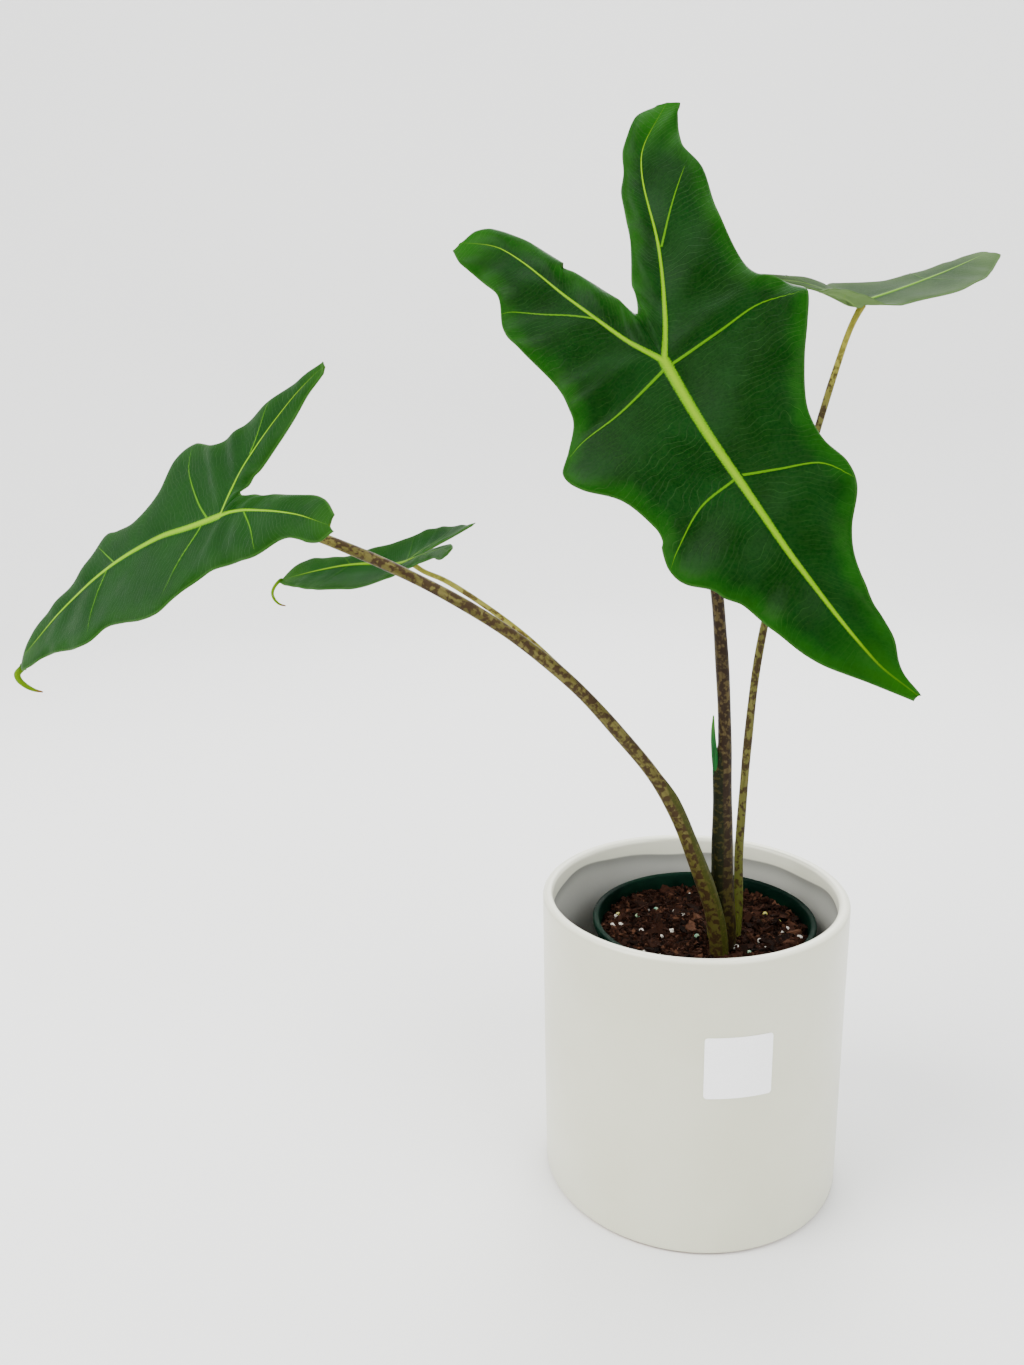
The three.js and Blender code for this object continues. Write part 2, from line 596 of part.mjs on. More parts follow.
function nurseryPotGeometry() {
  const { height, topRadius, footRadius, wall, floor, lipWidth, lipHeight } = NURSERY_POT;
  const shell = turned([
    [0, 0],
    [footRadius - 1.5, 0],
    [footRadius, 1.5],
    [topRadius, height - lipHeight],
    [topRadius + lipWidth, height - lipHeight],
    ...corner(topRadius + lipWidth - 0.8, height - 0.8, 0.8, 0, 90, 2),
    [topRadius - wall + 0.4, height],
    [topRadius - wall, height - 0.6],
    [footRadius - wall, floor + 1],
    [footRadius - wall - 1, floor],
    [0, floor],
  ], 40);
  const { drainHoles, drainRadius, drainCircle } = NURSERY_POT;
  let solid = solidFrom(shell);
  for (let i = 0; i < drainHoles; i += 1) {
    const turn = (FULL_TURN * (i + 0.5)) / drainHoles;
    const hole = new THREE.CylinderGeometry(drainRadius, drainRadius, 4 * floor, 10)
      .rotateX(Math.PI / 2)
      .translate(drainCircle * Math.cos(turn), drainCircle * Math.sin(turn), floor / 2);
    solid = solid.subtract(solidFrom(hole));
  }
  return geometryOf(solid);
}

// Where things stand

const POT_SEAT = OUTER_POT.floor + CLEARANCE;
const SOIL_TOP = POT_SEAT + NURSERY_POT.height - SOIL.belowRim;

function nurseryInside(z) {
  const { height, topRadius, footRadius, wall } = NURSERY_POT;
  const share = (z - POT_SEAT) / height;
  return THREE.MathUtils.lerp(footRadius, topRadius, share) - wall;
}

function inNurseryPot(geometry) {
  return geometry.translate(NURSERY_POT.centre[0], NURSERY_POT.centre[1], 0);
}

// Soil

// The body of the soil: rings on top carry a low random swell.
function soilBody(random) {
  const bottom = POT_SEAT + NURSERY_POT.floor + CLEARANCE;
  const rim = nurseryInside(SOIL_TOP) - 2 * CLEARANCE;
  const foot = nurseryInside(bottom) - 2;
  const sides = 32;
  const rings = [1, 0.78, 0.54, 0.28];
  const points = [new THREE.Vector3(0, 0, bottom)];
  const ringAt = (radius, height) => {
    const first = points.length;
    for (let k = 0; k < sides; k += 1) {
      const turn = (FULL_TURN * k) / sides;
      points.push(new THREE.Vector3(radius * Math.cos(turn), radius * Math.sin(turn), height()));
    }
    return first;
  };
  const firsts = [ringAt(foot, () => bottom)];
  rings.forEach((share, i) => firsts.push(
    ringAt(rim * share, () => SOIL_TOP + (i === 0 ? -SOIL.swell : SOIL.swell * (random() - 0.5))),
  ));
  points.push(new THREE.Vector3(0, 0, SOIL_TOP));
  const triangles = [];
  for (let k = 0; k < sides; k += 1) {
    const next = (k + 1) % sides;
    triangles.push([0, firsts[0] + next, firsts[0] + k]);
    for (let i = 1; i < firsts.length; i += 1) {
      const [a, b] = [firsts[i - 1] + k, firsts[i - 1] + next];
      const [c, d] = [firsts[i] + next, firsts[i] + k];
      triangles.push([a, b, c], [a, c, d]);
    }
    const last = firsts[firsts.length - 1];
    triangles.push([last + k, last + next, points.length - 1]);
  }
  return geometryFrom(points, triangles);
}

// One chip or pellet, sunk in the surface at a random place and turn.
function scattered(geometry, size, random) {
  const radius = (nurseryInside(SOIL_TOP) - 6) * Math.sqrt(random());
  const turn = FULL_TURN * random();
  const tilt = () => 0.6 * (random() - 0.5);
  geometry.rotateX(tilt()).rotateY(tilt()).rotateZ(FULL_TURN * random());
  return geometry.translate(radius * Math.cos(turn), radius * Math.sin(turn), SOIL_TOP + 0.1 * size);
}

function rhizomeGeometry(extra) {
  const { centre, radius, crown, depth } = RHIZOME;
  const knob = turned([
    [0, crown - depth - extra],
    [0.35 * radius + extra, crown - depth - extra],
    [0.8 * radius + extra, crown - 0.75 * depth],
    [radius + extra, crown - 0.4 * depth],
    [0.95 * radius + extra, crown - 2],
    [0.86 * radius + extra, crown + extra],
    [0, crown + extra],
  ], 16);
  return knob.translate(centre[0], centre[1], 0);
}

function soilGeometry() {
  const random = seeded(SOIL.seed);
  let solid = solidFrom(soilBody(random));
  for (let i = 0; i < SOIL.barkChips; i += 1) {
    const [long, wide] = [4 + 5 * random(), 2.5 + 2.5 * random()];
    const chip = new THREE.BoxGeometry(long, wide, 3.4);
    solid = solid.add(solidFrom(scattered(chip, 3.4, random)));
  }
  for (let i = 0; i < SOIL.perlite; i += 1) {
    const size = 1 + 0.8 * random();
    solid = solid.add(solidFrom(scattered(new THREE.OctahedronGeometry(size), size, random)));
  }
  solid = solidFrom(inNurseryPot(geometryOf(solid)));
  solid = solid.subtract(solidFrom(rhizomeGeometry(CLEARANCE)));
  for (const rows of [...Object.values(STALKS), NEW_LEAF]) {
    const buried = rows.slice(0, 3);
    solid = solid.subtract(solidFrom(stalkGeometry(buried, { extra: CLEARANCE + 0.1 })));
  }
  const pieces = solid.decompose();
  const largest = pieces.reduce((a, b) => (a.volume() > b.volume() ? a : b));
  return geometryOf(largest);
}

// The plant in its pots

const plant = new THREE.Group();

function place(name, geometry, material) {
  const mesh = new THREE.Mesh(geometry, material);
  mesh.name = name;
  plant.add(mesh);
  return mesh;
}

place("cachepot", outerPotGeometry(), GLAZE);
place("label", stickerGeometry(), PAPER);
place("nursery_pot", inNurseryPot(nurseryPotGeometry()), POT_PLASTIC).position.z = POT_SEAT;
place("soil", soilGeometry(), SOIL_BROWN);
place("rhizome", rhizomeGeometry(0), ROOT_BROWN);

const stalkFinish = { front: STALK_DARK, left: STALK_DARK, back_left: STALK_OLIVE, right: STALK_OLIVE };
const bladeFinish = { front: LEAF_DARK, left: LEAF_MID, back_left: LEAF_MID, right: LEAF_YOUNG };
for (const [name, blade] of Object.entries(BLADES)) {
  const rows = stalkRows(STALKS[name], seatPlane(blade));
  const stalk = stalkGeometry(rows, { top: seatPlane(blade) });
  place(`petiole_${name}`, stalk, stalkFinish[name]);
  place(`blade_${name}`, bladeGeometry(blade, blade.scale < 0.7 ? 0.6 : 1), bladeFinish[name]);
}
place("new_leaf", stalkGeometry(NEW_LEAF, { sides: 8 }), LEAF_MID);

export default plant;
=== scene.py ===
# A potted arrow-leaved alocasia: four leaves on mottled stalks and one rolled new leaf, in a
# nursery pot inside a glazed outer pot. Lengths are in millimetres until a mesh is made.

import math
from types import SimpleNamespace as Shape

import bpy
import numpy as np
from mathutils import Color, Euler, Matrix, Vector


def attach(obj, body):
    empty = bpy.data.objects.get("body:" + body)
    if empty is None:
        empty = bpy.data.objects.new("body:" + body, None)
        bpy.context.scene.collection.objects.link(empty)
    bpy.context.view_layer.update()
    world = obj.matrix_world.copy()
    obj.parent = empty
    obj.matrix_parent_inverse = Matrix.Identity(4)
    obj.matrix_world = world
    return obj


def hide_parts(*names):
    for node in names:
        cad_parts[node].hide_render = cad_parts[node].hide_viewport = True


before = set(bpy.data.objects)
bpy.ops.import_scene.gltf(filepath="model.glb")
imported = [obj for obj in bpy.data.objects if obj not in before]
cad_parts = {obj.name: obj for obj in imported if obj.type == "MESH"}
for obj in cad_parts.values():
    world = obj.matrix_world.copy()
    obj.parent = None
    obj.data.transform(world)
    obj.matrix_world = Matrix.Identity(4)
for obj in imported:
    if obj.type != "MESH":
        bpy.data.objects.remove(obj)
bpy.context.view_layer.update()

MM = 0.001
TURN = 2 * math.pi


# Camera and light

FOCAL, SENSOR, SHIFT = 29.01, 36.0, 0.0275
CAMERA_AT = (-89.4, -509.6, 389.4)
PITCH, ROLL = math.radians(15.73), math.radians(-1.35)


def put(name, data):
    """A new object in the scene."""
    made = bpy.data.objects.new(name, data)
    bpy.context.scene.collection.objects.link(made)
    return made


def add_camera():
    data = bpy.data.cameras.new("camera")
    data.lens, data.sensor_width, data.shift_y = FOCAL, SENSOR, SHIFT
    data.clip_start, data.clip_end = 0.01, 30
    camera = put("camera", data)
    tilt = Matrix.Rotation(math.pi / 2 - PITCH, 4, "X") @ Matrix.Rotation(ROLL, 4, "Z")
    camera.matrix_world = Matrix.Translation(Vector(CAMERA_AT) * MM) @ tilt
    bpy.context.scene.camera = camera


def add_light(name, at, towards, size, power, colour):
    data = bpy.data.lights.new(name, "AREA")
    data.shape, data.size, data.energy, data.color = "DISK", size, power, colour
    light = put(name, data)
    light.location = at
    light.rotation_euler = Vector(np.subtract(towards, at)).to_track_quat("-Z", "Y").to_euler()


# Meshes

def new_object(name, points, faces, smooth=True):
    """An object from points in millimetres and faces as index rows."""
    mesh = bpy.data.meshes.new(name)
    mesh.from_pydata((np.asarray(points) * MM).tolist(), [], faces, shade_flat=not smooth)
    mesh.validate()
    return put(name, mesh)


def add_piece(name, points, faces, material, slot, *nodes, smooth=True, **layers):
    """A piece of the part. layers are numbers or vectors at its points, for the material."""
    piece = new_object(name, points, faces, smooth)
    for layer, values in layers.items():
        values = np.asarray(values, np.float32)
        kind, field = ("FLOAT", "value") if values.ndim == 1 else ("FLOAT_VECTOR", "vector")
        made = piece.data.attributes.new(layer, kind, "POINT")
        made.data.foreach_set(field, values.ravel())
    piece.data.materials.append(material)
    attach(piece, "root")
    if nodes:
        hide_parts(*nodes)
    return piece


def grid_faces(rows, columns, wrap=False):
    """Quads of a grid of points numbered row by row."""
    faces = []
    for i in range(0, (rows - 1) * columns, columns):
        for j in range(columns if wrap else columns - 1):
            k = (j + 1) % columns
            faces.append((i + j, i + k, i + columns + k, i + columns + j))
    return faces


def closed(faces, count):
    """Faces of the solid between a sheet and its copy, whose points are count further on."""
    edges = {(a, b) for f in faces for a, b in zip(f, (*f[1:], f[0]))}
    rim = sorted((a, b) for a, b in edges if (b, a) not in edges)
    return [*faces, *[[k + count for k in reversed(f)] for f in faces],
            *[[b, a, a + count, b + count] for a, b in rim]]


def turned(profile, sides):
    """Points and faces of a body of revolution about +Z, from [radius, height] rows."""
    points, rings = [], []
    for radius, height in profile:
        turns = [TURN * k / sides for k in range(sides)] if radius > 1e-6 else [0]
        rings.append(range(len(points), len(points) + len(turns)))
        points += [(radius * math.cos(t), radius * math.sin(t), height) for t in turns]
    faces = []
    for low, high in zip(rings, rings[1:]):
        for k in range(sides):
            n = (k + 1) % sides
            quad = [ring[i % len(ring)] for ring, i in ((low, k), (low, n), (high, n), (high, k))]
            faces.append(list(dict.fromkeys(quad)))
    return np.array(points, float), faces


def corner(radius, height, rounding, start, end, steps):
    """A round corner of a profile, from one angle to another in degrees."""
    angles = np.radians(np.linspace(start, end, steps + 1))
    return [(radius + rounding * math.cos(a), height + rounding * math.sin(a)) for a in angles]


def polar(points):
    """Angle and distance of points about +Z."""
    return np.arctan2(points[:, 1], points[:, 0]), np.hypot(points[:, 0], points[:, 1])


def unit(vector):
    return vector / np.linalg.norm(vector)


def distance_along(points):
    steps = np.linalg.norm(np.diff(points, axis=0), axis=1)
    return np.r_[0, np.cumsum(steps)]


def cubic(t, start, leave, end, arrive):
    """From start to end as t runs from 0 to 1, with the slopes leave and arrive."""
    return ((2 * t**3 - 3 * t**2 + 1) * start + (t**3 - 2 * t**2 + t) * leave
            + (3 * t**2 - 2 * t**3) * end + (t**3 - t**2) * arrive)


# Material nodes

current = Shape(material=None)


def begin(name):
    """Starts a material. The functions below add nodes to the one started last."""
    current.material = bpy.data.materials.new(name)
    current.material.use_nodes = True


def give(socket, value):
    if isinstance(value, bpy.types.NodeSocket):
        current.material.node_tree.links.new(value, socket)
    else:
        socket.default_value = value


def node(kind, inputs, **settings):
    made = current.material.node_tree.nodes.new("ShaderNode" + kind)
    for key, value in settings.items():
        setattr(made, key, value)
    for key, value in inputs.items():
        give(made.inputs[key], value)
    return made.outputs


def combine(how, a, b=0):
    return node("Math", {0: a, 1: b}, operation=how)[0]


def plus(a, b):
    return combine("ADD", a, b)


def times(a, b):
    return combine("MULTIPLY", a, b)


def step(value, low, high, start=0, end=1):
    """start below low and end above high, with a smooth change between."""
    inputs = dict(enumerate((value, low, high, start, end)))
    return node("MapRange", inputs, interpolation_type="SMOOTHSTEP")[0]


def mix(share, a, b):
    return node("Mix", {0: share, 6: a, 7: b}, data_type="RGBA")[2]


def stored(name, kind="Fac"):
    return node("Attribute", {}, attribute_name=name)[kind]


def position():
    return node("TexCoord", {})["Object"]


def parts(vector):
    return node("SeparateXYZ", {"Vector": vector})


def noise(vector, scale, detail=3, rough=0.5, distort=0):
    """Noise from 0 to 1. Three scales stretch it along the axes."""
    if isinstance(scale, tuple):
        vector, scale = node("Mapping", {"Vector": vector, "Scale": scale})[0], 1.0
    return node("TexNoise", {"Vector": vector, "Scale": scale, "Detail": detail,
                             "Roughness": rough, "Distortion": distort})[0]


def finish(colour, rough, bump=None, shine=0.5, **more):
    """The whole material. bump is a height, its strength and its distance in metres."""
    inputs = {"Base_Color": colour, "Roughness": rough, "Specular_IOR_Level": shine, **more}
    if bump:
        inputs["Normal"] = node("Bump", dict(zip(("Height", "Strength", "Distance"), bump)))[0]
    shader = current.material.node_tree.nodes["Principled BSDF"]
    for key, value in inputs.items():
        give(shader.inputs[key.replace("_", " ")], value)
    return current.material


def rgb(*levels):
    """A colour as seen, from 0 to 255, as Blender's linear values."""
    return (*(Color(levels) / 255).from_srgb_to_scene_linear(), 1.0)


# Blades: the outlines and how they stand in space

# "along" runs in the flat blade from the stalk's seat to the tip and "across" to the left of it.
# A row is [root, along, across]. root is where the side vein that ends there leaves the skeleton:
# along the midrib from 0 to the tip, and down from 0 along the lobe's own rib. A vein's points
# are [along, across].

# heading, dip and roll turn the blade, in degrees. droop and lobe_droop bend it lengthwise, as
# rows of [where, curvature], and curl bends it crosswise. fold and lobe_fold lift its halves.
FRONT = Shape(
    scale=1, seat=[-24, -40, 407], heading=-52, dip=46, roll=45, droop=[[0, 0], [50, 0.002], [120, 0.004]],
    lobe_droop=[[0, 0.0005]], fold=[4, 4], lobe_fold=[4, 4], curl=0.002, swell=2.4, wave=1.6, rib_width=1.0,
    length=168, lobe=120, marks=[-88, -50, -18, 4, 61, 100, 130],
    midrib=[[0, 0, 0], [33, 33, -2], [61, 61, -2], [104, 104, -1], [149, 149, 4], [168, 168.5, 11]],
    left=Shape(
        rib=[[-120, -112, 64], [-95, -93, 41], [-50, -47, 24], [-18, -17, 10], [0, 0, 0]],
        outer=[[-120, -109, 69], [-106, -103, 65], [-85, -87.5, 58], [-70, -72, 59.7], [-52, -50, 53],
        [-34, -28, 50], [-20, -12.7, 50], [-8, -4, 57.5], [3, 6, 62], [11, 18, 55], [23, 31, 46],
        [36, 46, 37.5], [43, 55, 34.5], [50, 66, 33.5], [57, 78, 35.5], [66, 89, 33], [78, 101, 24],
        [92, 113, 18.4], [108, 126, 15.2], [120, 135.5, 15.6], [132, 144.6, 14.2], [153, 157.6, 11.4],
        [168, 169, 12]],
        inner=[[-120, -114, 60], [-108, -115, 49.5], [-90, -103.5, 37.5], [-77, -91.5, 30.5],
        [-66, -83, 24.5], [-48, -65.5, 19], [-26, -46.3, 9.5], [0, -27, 2]],
        veins=[[[-47, 25], [-58, 35], [-70, 47], [-76, 53]], [[3, 0], [2, 25], [1, 44], [6, 60]],
        [[61, 0], [67, 13], [74, 27], [86, 34]]]),
    right=Shape(
        rib=[[-120, -108, -44], [-95, -91, -30], [-50, -50, -18], [-18, -18, -8], [0, 0, 0]],
        outer=[[-120, -106.5, -48.5], [-106, -97, -48.8], [-85, -82, -44.5], [-70, -70, -43],
        [-52, -57, -48], [-34, -40, -46.8], [-20, -18, -42], [-8, -3, -43], [-3, 3, -44.6],
        [3, 11.5, -52.2], [11, 19.5, -58.8], [23, 31, -55.5], [36, 45, -44.2], [47, 61, -39],
        [51, 67, -39.2], [53, 69.5, -41], [57, 78, -43], [66, 87, -41], [78, 96, -33.2], [84, 101, -30.8],
        [92, 106.6, -26.2], [108, 120, -22.4], [132, 139.8, -13.8], [153, 157, -1], [168, 169.3, 8.6]],
        inner=[[-120, -108, -42.5], [-114, -109, -35.5], [-108, -105.4, -28.8], [-90, -92, -20.2],
        [-66, -73.8, -12.8], [-59, -68.8, -11], [-56.5, -67.6, -11], [-54.5, -66.4, -12],
        [-48, -61.6, -9.6], [-26, -45, -3], [0, -27, 2]],
        veins=[[[-34, -13], [-46, -26], [-59, -40], [-63, -46]], [[3, -1], [10, -26], [12, -44], [15, -54]],
        [[61, -3], [64, -20], [74, -36], [79, -42]]]))
LEFT = Shape(
    scale=1, seat=[-205, -60, 351], heading=149, dip=26, roll=-56,
    droop=[[0, 0], [60, 0.0005], [157, 0.055]], lobe_droop=[[0, 0.0005]], fold=[4, 4], lobe_fold=[4, 4],
    curl=0.001, swell=0.9, wave=0.5, rib_width=0.7,
    length=168, lobe=78, marks=[-56, -24, -10, 4, 84, 112, 136],
    midrib=[[0, 0, 0], [21, 21, -5], [45, 45, -11], [84, 84, -14], [126, 126, -9], [158, 159, 0],
        [168, 170.6, 1]],
    left=Shape(
        rib=[[-78, -67, 38.5], [-56, -48, 24], [-24, -21, 8], [-10, -8, 2], [0, 0, 0]],
        outer=[[-78, -69, 41.5], [-66, -60.5, 42.7], [-52, -50, 36], [-38, -38, 31], [-26, -24, 31.5],
        [-14, -8, 27.5], [-4, 8, 25], [6, 26, 27], [18, 38, 29.5], [32, 52, 27], [48, 66, 22],
        [62, 80, 18.3], [76, 92, 20.5], [90, 104, 19], [108, 120, 14], [128, 136, 10], [148, 152, 9],
        [158, 162, 6.6], [168, 170.8, 2.1]],
        inner=[[-78, -69, 34.5], [-64, -63.5, 24.5], [-44, -50, 15], [-24, -33, 6], [0, -12, -5]],
        veins=[[[-16, 6], [-22, 18], [-26, 30]], [[12, -2], [25, 9], [35, 23]],
        [[84, -14], [91, -4], [94, 6], [94, 16]]]),
    right=Shape(
        rib=[[-78, -61, -40], [-56, -43, -34], [-24, -18, -20], [-10, -7, -10], [0, 0, 0]],
        outer=[[-78, -60, -43], [-66, -50, -43], [-52, -38, -42.5], [-38, -25, -42], [-26, -14, -40],
        [-14, -2, -39.5], [-4, 9, -41], [6, 22.5, -50], [18, 37, -49], [32, 48, -36], [48, 65, -30.5],
        [62, 80, -33], [76, 91.5, -36], [90, 104, -28.5], [108, 118, -22], [128, 137, -17.5],
        [148, 152, -12], [158, 162.5, -4.5], [168, 170.8, -0.1]],
        inner=[[-78, -60, -37], [-64, -50, -30], [-44, -36, -18], [-24, -24, -11], [0, -12, -5]],
        veins=[[[-18, -21], [-25, -31], [-31, -42]], [[8, -2], [16, -15], [24, -35], [24, -48]],
        [[78, -14], [86, -22], [95, -31]]]))
BACK_LEFT = Shape(
    scale=0.548, seat=[-136.6, 15, 321.9], heading=138, dip=25, roll=-26, droop=[[0, -0.0127], [27, 0]],
    lobe_droop=[[0, 0]], fold=[1, 12], lobe_fold=[-11, -17], curl=-0.005, swell=0.6, wave=0.5,
    rib_width=0.6,
    length=160, lobe=78, marks=[-56, -24, -10, 4, 84, 112, 136],
    midrib=[[0, 0, 0], [21, 21, -5], [45, 45, -11], [84, 84, -14], [126, 128, -9], [160, 164, 0]],
    left=Shape(
        rib=[[-78, -76, 33], [-56, -58, 20], [-24, -25, 7], [-10, -10, 2], [0, 0, 0]],
        outer=[[-78, -77, 37], [-66, -70, 39], [-52, -59, 33], [-38, -45, 24], [-26, -28, 20],
        [-14, -11, 17], [-4, 6, 18], [6, 22, 22], [18, 36, 26], [32, 52, 28], [48, 68, 25.5],
        [62, 83, 24.5], [76, 95, 24.5], [90, 106, 22], [108, 124, 17], [128, 140, 12], [148, 154, 7.5],
        [160, 164.5, 1.6]],
        inner=[[-78, -78, 30], [-64, -72, 21], [-44, -59, 13], [-24, -35, 4], [0, -8, -3]],
        veins=[[[-25, 7], [-34, 14], [-42, 22]], [[6, -1], [14, 8], [25, 21]],
        [[84, -14], [94, 2], [101, 20]]]),
    right=Shape(
        rib=[[-78, -37, -53], [-56, -26, -45], [-24, -11, -26], [-10, -4, -13], [0, 0, 0]],
        outer=[[-78, -37, -58], [-66, -30, -61], [-52, -22, -64], [-38, -14, -66], [-26, -7, -62],
        [-14, 1, -56], [-4, 9, -50], [6, 21, -44], [18, 34, -41], [32, 50, -37], [48, 67, -35],
        [62, 79, -32], [76, 91, -29], [90, 104, -28], [108, 123, -29], [128, 144, -29], [148, 158, -22],
        [155, 163, -14], [160, 165, -2]],
        inner=[[-78, -36, -49], [-64, -30, -40], [-44, -22, -26], [-24, -14, -14], [0, -8, -3]],
        veins=[[[-11, -26], [-12, -42], [-10, -58]], [[5, -1], [13, -22], [19, -42]],
        [[82, -14], [91, -21], [98, -27]]]))
RIGHT = Shape(
    scale=0.552, seat=[82.8, 50, 435.6], heading=27.3, dip=-15.7, roll=13.4, droop=[[0, 0], [28, -0.0006]],
    lobe_droop=[[0, -0.07], [8, 0.01]], fold=[-6, -7], lobe_fold=[14, 4], curl=-0.0116, swell=0.6, wave=0.4,
    rib_width=0.6,
    length=168, lobe=120, marks=[-88, -50, -18, 4, 61, 100, 130],
    midrib=[[0, 0, 0], [33, 33, -2], [61, 61, -2], [104, 104, -1], [149, 146, 2], [168, 162, 3]],
    left=Shape(
        rib=[[-120, -118, 44], [-95, -98, 28], [-50, -50, 17], [-18, -18, 7], [0, 0, 0]],
        outer=[[-120, -117, 48], [-106, -108, 42], [-85, -90, 35], [-70, -74, 33], [-52, -52, 32],
        [-34, -29, 35], [-20, -13, 39], [-8, 0, 45], [3, 9, 50], [11, 17, 52], [23, 31, 47.5], [36, 46, 39],
        [47, 58, 31], [57, 70, 27.5], [66, 81, 26], [78, 95, 23.5], [92, 111, 22], [108, 126, 20.5],
        [132, 144, 18.5], [153, 158, 16.5], [162, 164, 13], [168, 165.4, 8]],
        inner=[[-120, -120, 43], [-108, -120, 35], [-90, -107, 26], [-66, -84, 18], [-48, -65, 13],
        [-26, -45, 7], [0, -26, 2]],
        veins=[[[-50, 17], [-60, 26], [-68, 32]], [[3, 0], [4, 25], [6, 50]],
        [[74, -2], [79, 12], [86, 28]]]),
    right=Shape(
        rib=[[-120, -91, -40], [-95, -76, -27], [-50, -42, -16], [-18, -15, -7], [0, 0, 0]],
        outer=[[-120, -89, -45], [-106, -82, -42], [-85, -69, -39], [-70, -58, -36], [-52, -45, -34],
        [-34, -31, -32], [-20, -16, -34], [-8, -1, -37], [3, 11, -36], [11, 19, -37], [23, 28, -41],
        [36, 39, -47], [47, 49, -51], [57, 59, -53], [66, 69, -52], [78, 83, -49], [92, 98, -45],
        [108, 112, -39], [132, 131, -28], [153, 150, -17], [162, 163, -9], [168, 165.4, -3]],
        inner=[[-120, -92, -37], [-108, -86, -30], [-90, -75, -22], [-66, -60, -14], [-48, -50, -8],
        [-26, -37, -3], [0, -26, 2]],
        veins=[[[-42, -16], [-48, -24], [-52, -32]], [[3, -1], [7, -20], [10, -40]],
        [[76, -2], [82, -18], [88, -38]]]))
BLADES = {"front": FRONT, "left": LEFT, "back_left": BACK_LEFT, "right": RIGHT}

BLADE_THICKNESS, EDGE_THICKNESS = 0.8, 0.45
RIB_DEPTH, RIB_REACH = 2.2, 2.6
VEIN_WIDTHS = [0.5, 0.7, 0.55]


def through(rows, at):
    """A smooth curve through rows whose first value is the parameter."""
    rows = np.asarray(rows, float)
    mark, values = rows[:, 0], rows[:, 1:]
    padded = np.pad(rows, ((1, 1), (0, 0)), "edge")
    rise = padded[2:] - padded[:-2]
    slope = rise[:, 1:] / rise[:, :1]
    i = np.clip(np.searchsorted(mark, at), 1, len(rows) - 1)
    span = (mark[i] - mark[i - 1])[:, None]
    t = np.clip((at - mark[i - 1])[:, None] / span, 0, 1)
    return cubic(t, values[i - 1], slope[i - 1] * span, values[i], slope[i] * span)


def along_arcs(arcs, run):
    """How far, how deep and how steep after a run along consecutive arcs."""
    far, deep, angle = np.zeros((3, len(run)))
    ends = [start for start, _ in arcs[1:]] + [1e9]
    for (start, curvature), end in zip(arcs, ends):
        t = np.clip(run - start, 0, end - start)
        k = curvature or 1e-9
        ahead, down = np.sin(k * t) / k, (1 - np.cos(k * t)) / k
        far = far + np.cos(angle) * ahead - np.sin(angle) * down
        deep = deep + np.sin(angle) * ahead + np.cos(angle) * down
        angle = angle + k * t
    return far, deep, angle


def blade_axes(blade):
    """The blade's own directions: x along the midrib, y to its left, z out of its upper face."""
    h, d, r = np.radians([blade.heading, blade.dip, blade.roll])
    x = np.array([math.cos(h) * math.cos(d), math.sin(h) * math.cos(d), -math.sin(d)])
    level = np.array([-math.sin(h), math.cos(h), 0])
    y = math.cos(r) * level + math.sin(r) * np.cross(x, level)
    return x, y, np.cross(x, y)


def blade_points(blade, flat, lift):
    """Bends points of the flat blade into their places."""
    scale = blade.scale
    along, across = flat.T * scale
    front = along_arcs(blade.droop, np.maximum(along, 0))
    back = along_arcs(blade.lobe_droop, np.maximum(-along, 0))
    far, deep, angle = front[0] - back[0], front[1] + back[1], front[2] - back[2]
    lobe_share = 1 / (1 + np.exp(np.clip(along / (8 * scale), -50, 50)))
    half = np.where(across >= 0, 0, 1)
    fold = np.take(blade.fold, half) * (1 - lobe_share)
    fold = np.radians(fold + np.take(blade.lobe_fold, half) * lobe_share)
    section = along_arcs([[0, blade.curl]], np.abs(across))
    soft = 6 * scale
    crease = np.sin(fold) * soft * (1 - np.exp(-np.abs(across) / soft))
    out = np.cos(fold) * section[0] + np.sin(fold) * section[1]
    rise = np.sin(fold) * section[0] - np.cos(fold) * section[1] - crease + lift * scale
    x, y, z = blade_axes(blade)
    return (np.outer(far + np.sin(angle) * rise, x) + np.outer(np.sign(across) * out, y)
            + np.outer(np.cos(angle) * rise - deep, z) + blade.seat)


def strip(blade, side, margin, roots, stops):
    """Flat points of one strip, column by column from the skeleton out to a margin."""
    on_midrib = (roots >= 0)[:, None]
    base = np.where(on_midrib, through(blade.midrib, roots), through(side.rib, roots))
    vein = through(margin, roots) - base
    size = np.linalg.norm(vein, axis=1)
    back = np.stack([-vein[:, 1], vein[:, 0]], 1) / size[:, None]
    back[back[:, 0] * np.where(roots < 0, -1, 1) > 0] *= -1
    bow = 0.2 * size * np.minimum(1, np.abs(roots) / 40)
    v = stops[None, :, None]
    return base[:, None] + vein[:, None] * v + (back * bow[:, None])[:, None] * v * (1 - v)


def nearest(points, line):
    """Distance of flat points to a line, the side they are on and how far along it they are."""
    best = np.full(len(points), 1e9)
    side, along = np.zeros((2, len(points)))
    run = distance_along(line)
    for k, length in enumerate(np.linalg.norm(np.diff(line, axis=0), axis=1)):
        if length < 1e-9:
            continue
        ahead = (line[k + 1] - line[k]) / length
        offset = points - line[k]
        t = np.clip(offset @ ahead, 0, length)
        gap = offset - t[:, None] * ahead
        distance = np.hypot(gap[:, 0], gap[:, 1])
        closer = distance < best
        best = np.where(closer, distance, best)
        turn = ahead[0] * offset[:, 1] - ahead[1] * offset[:, 0]
        side = np.where(closer, np.where(turn >= 0, 1.0, -1.0), side)
        along = np.where(closer, (run[k] + t) / run[-1], along)
    return best, side, along


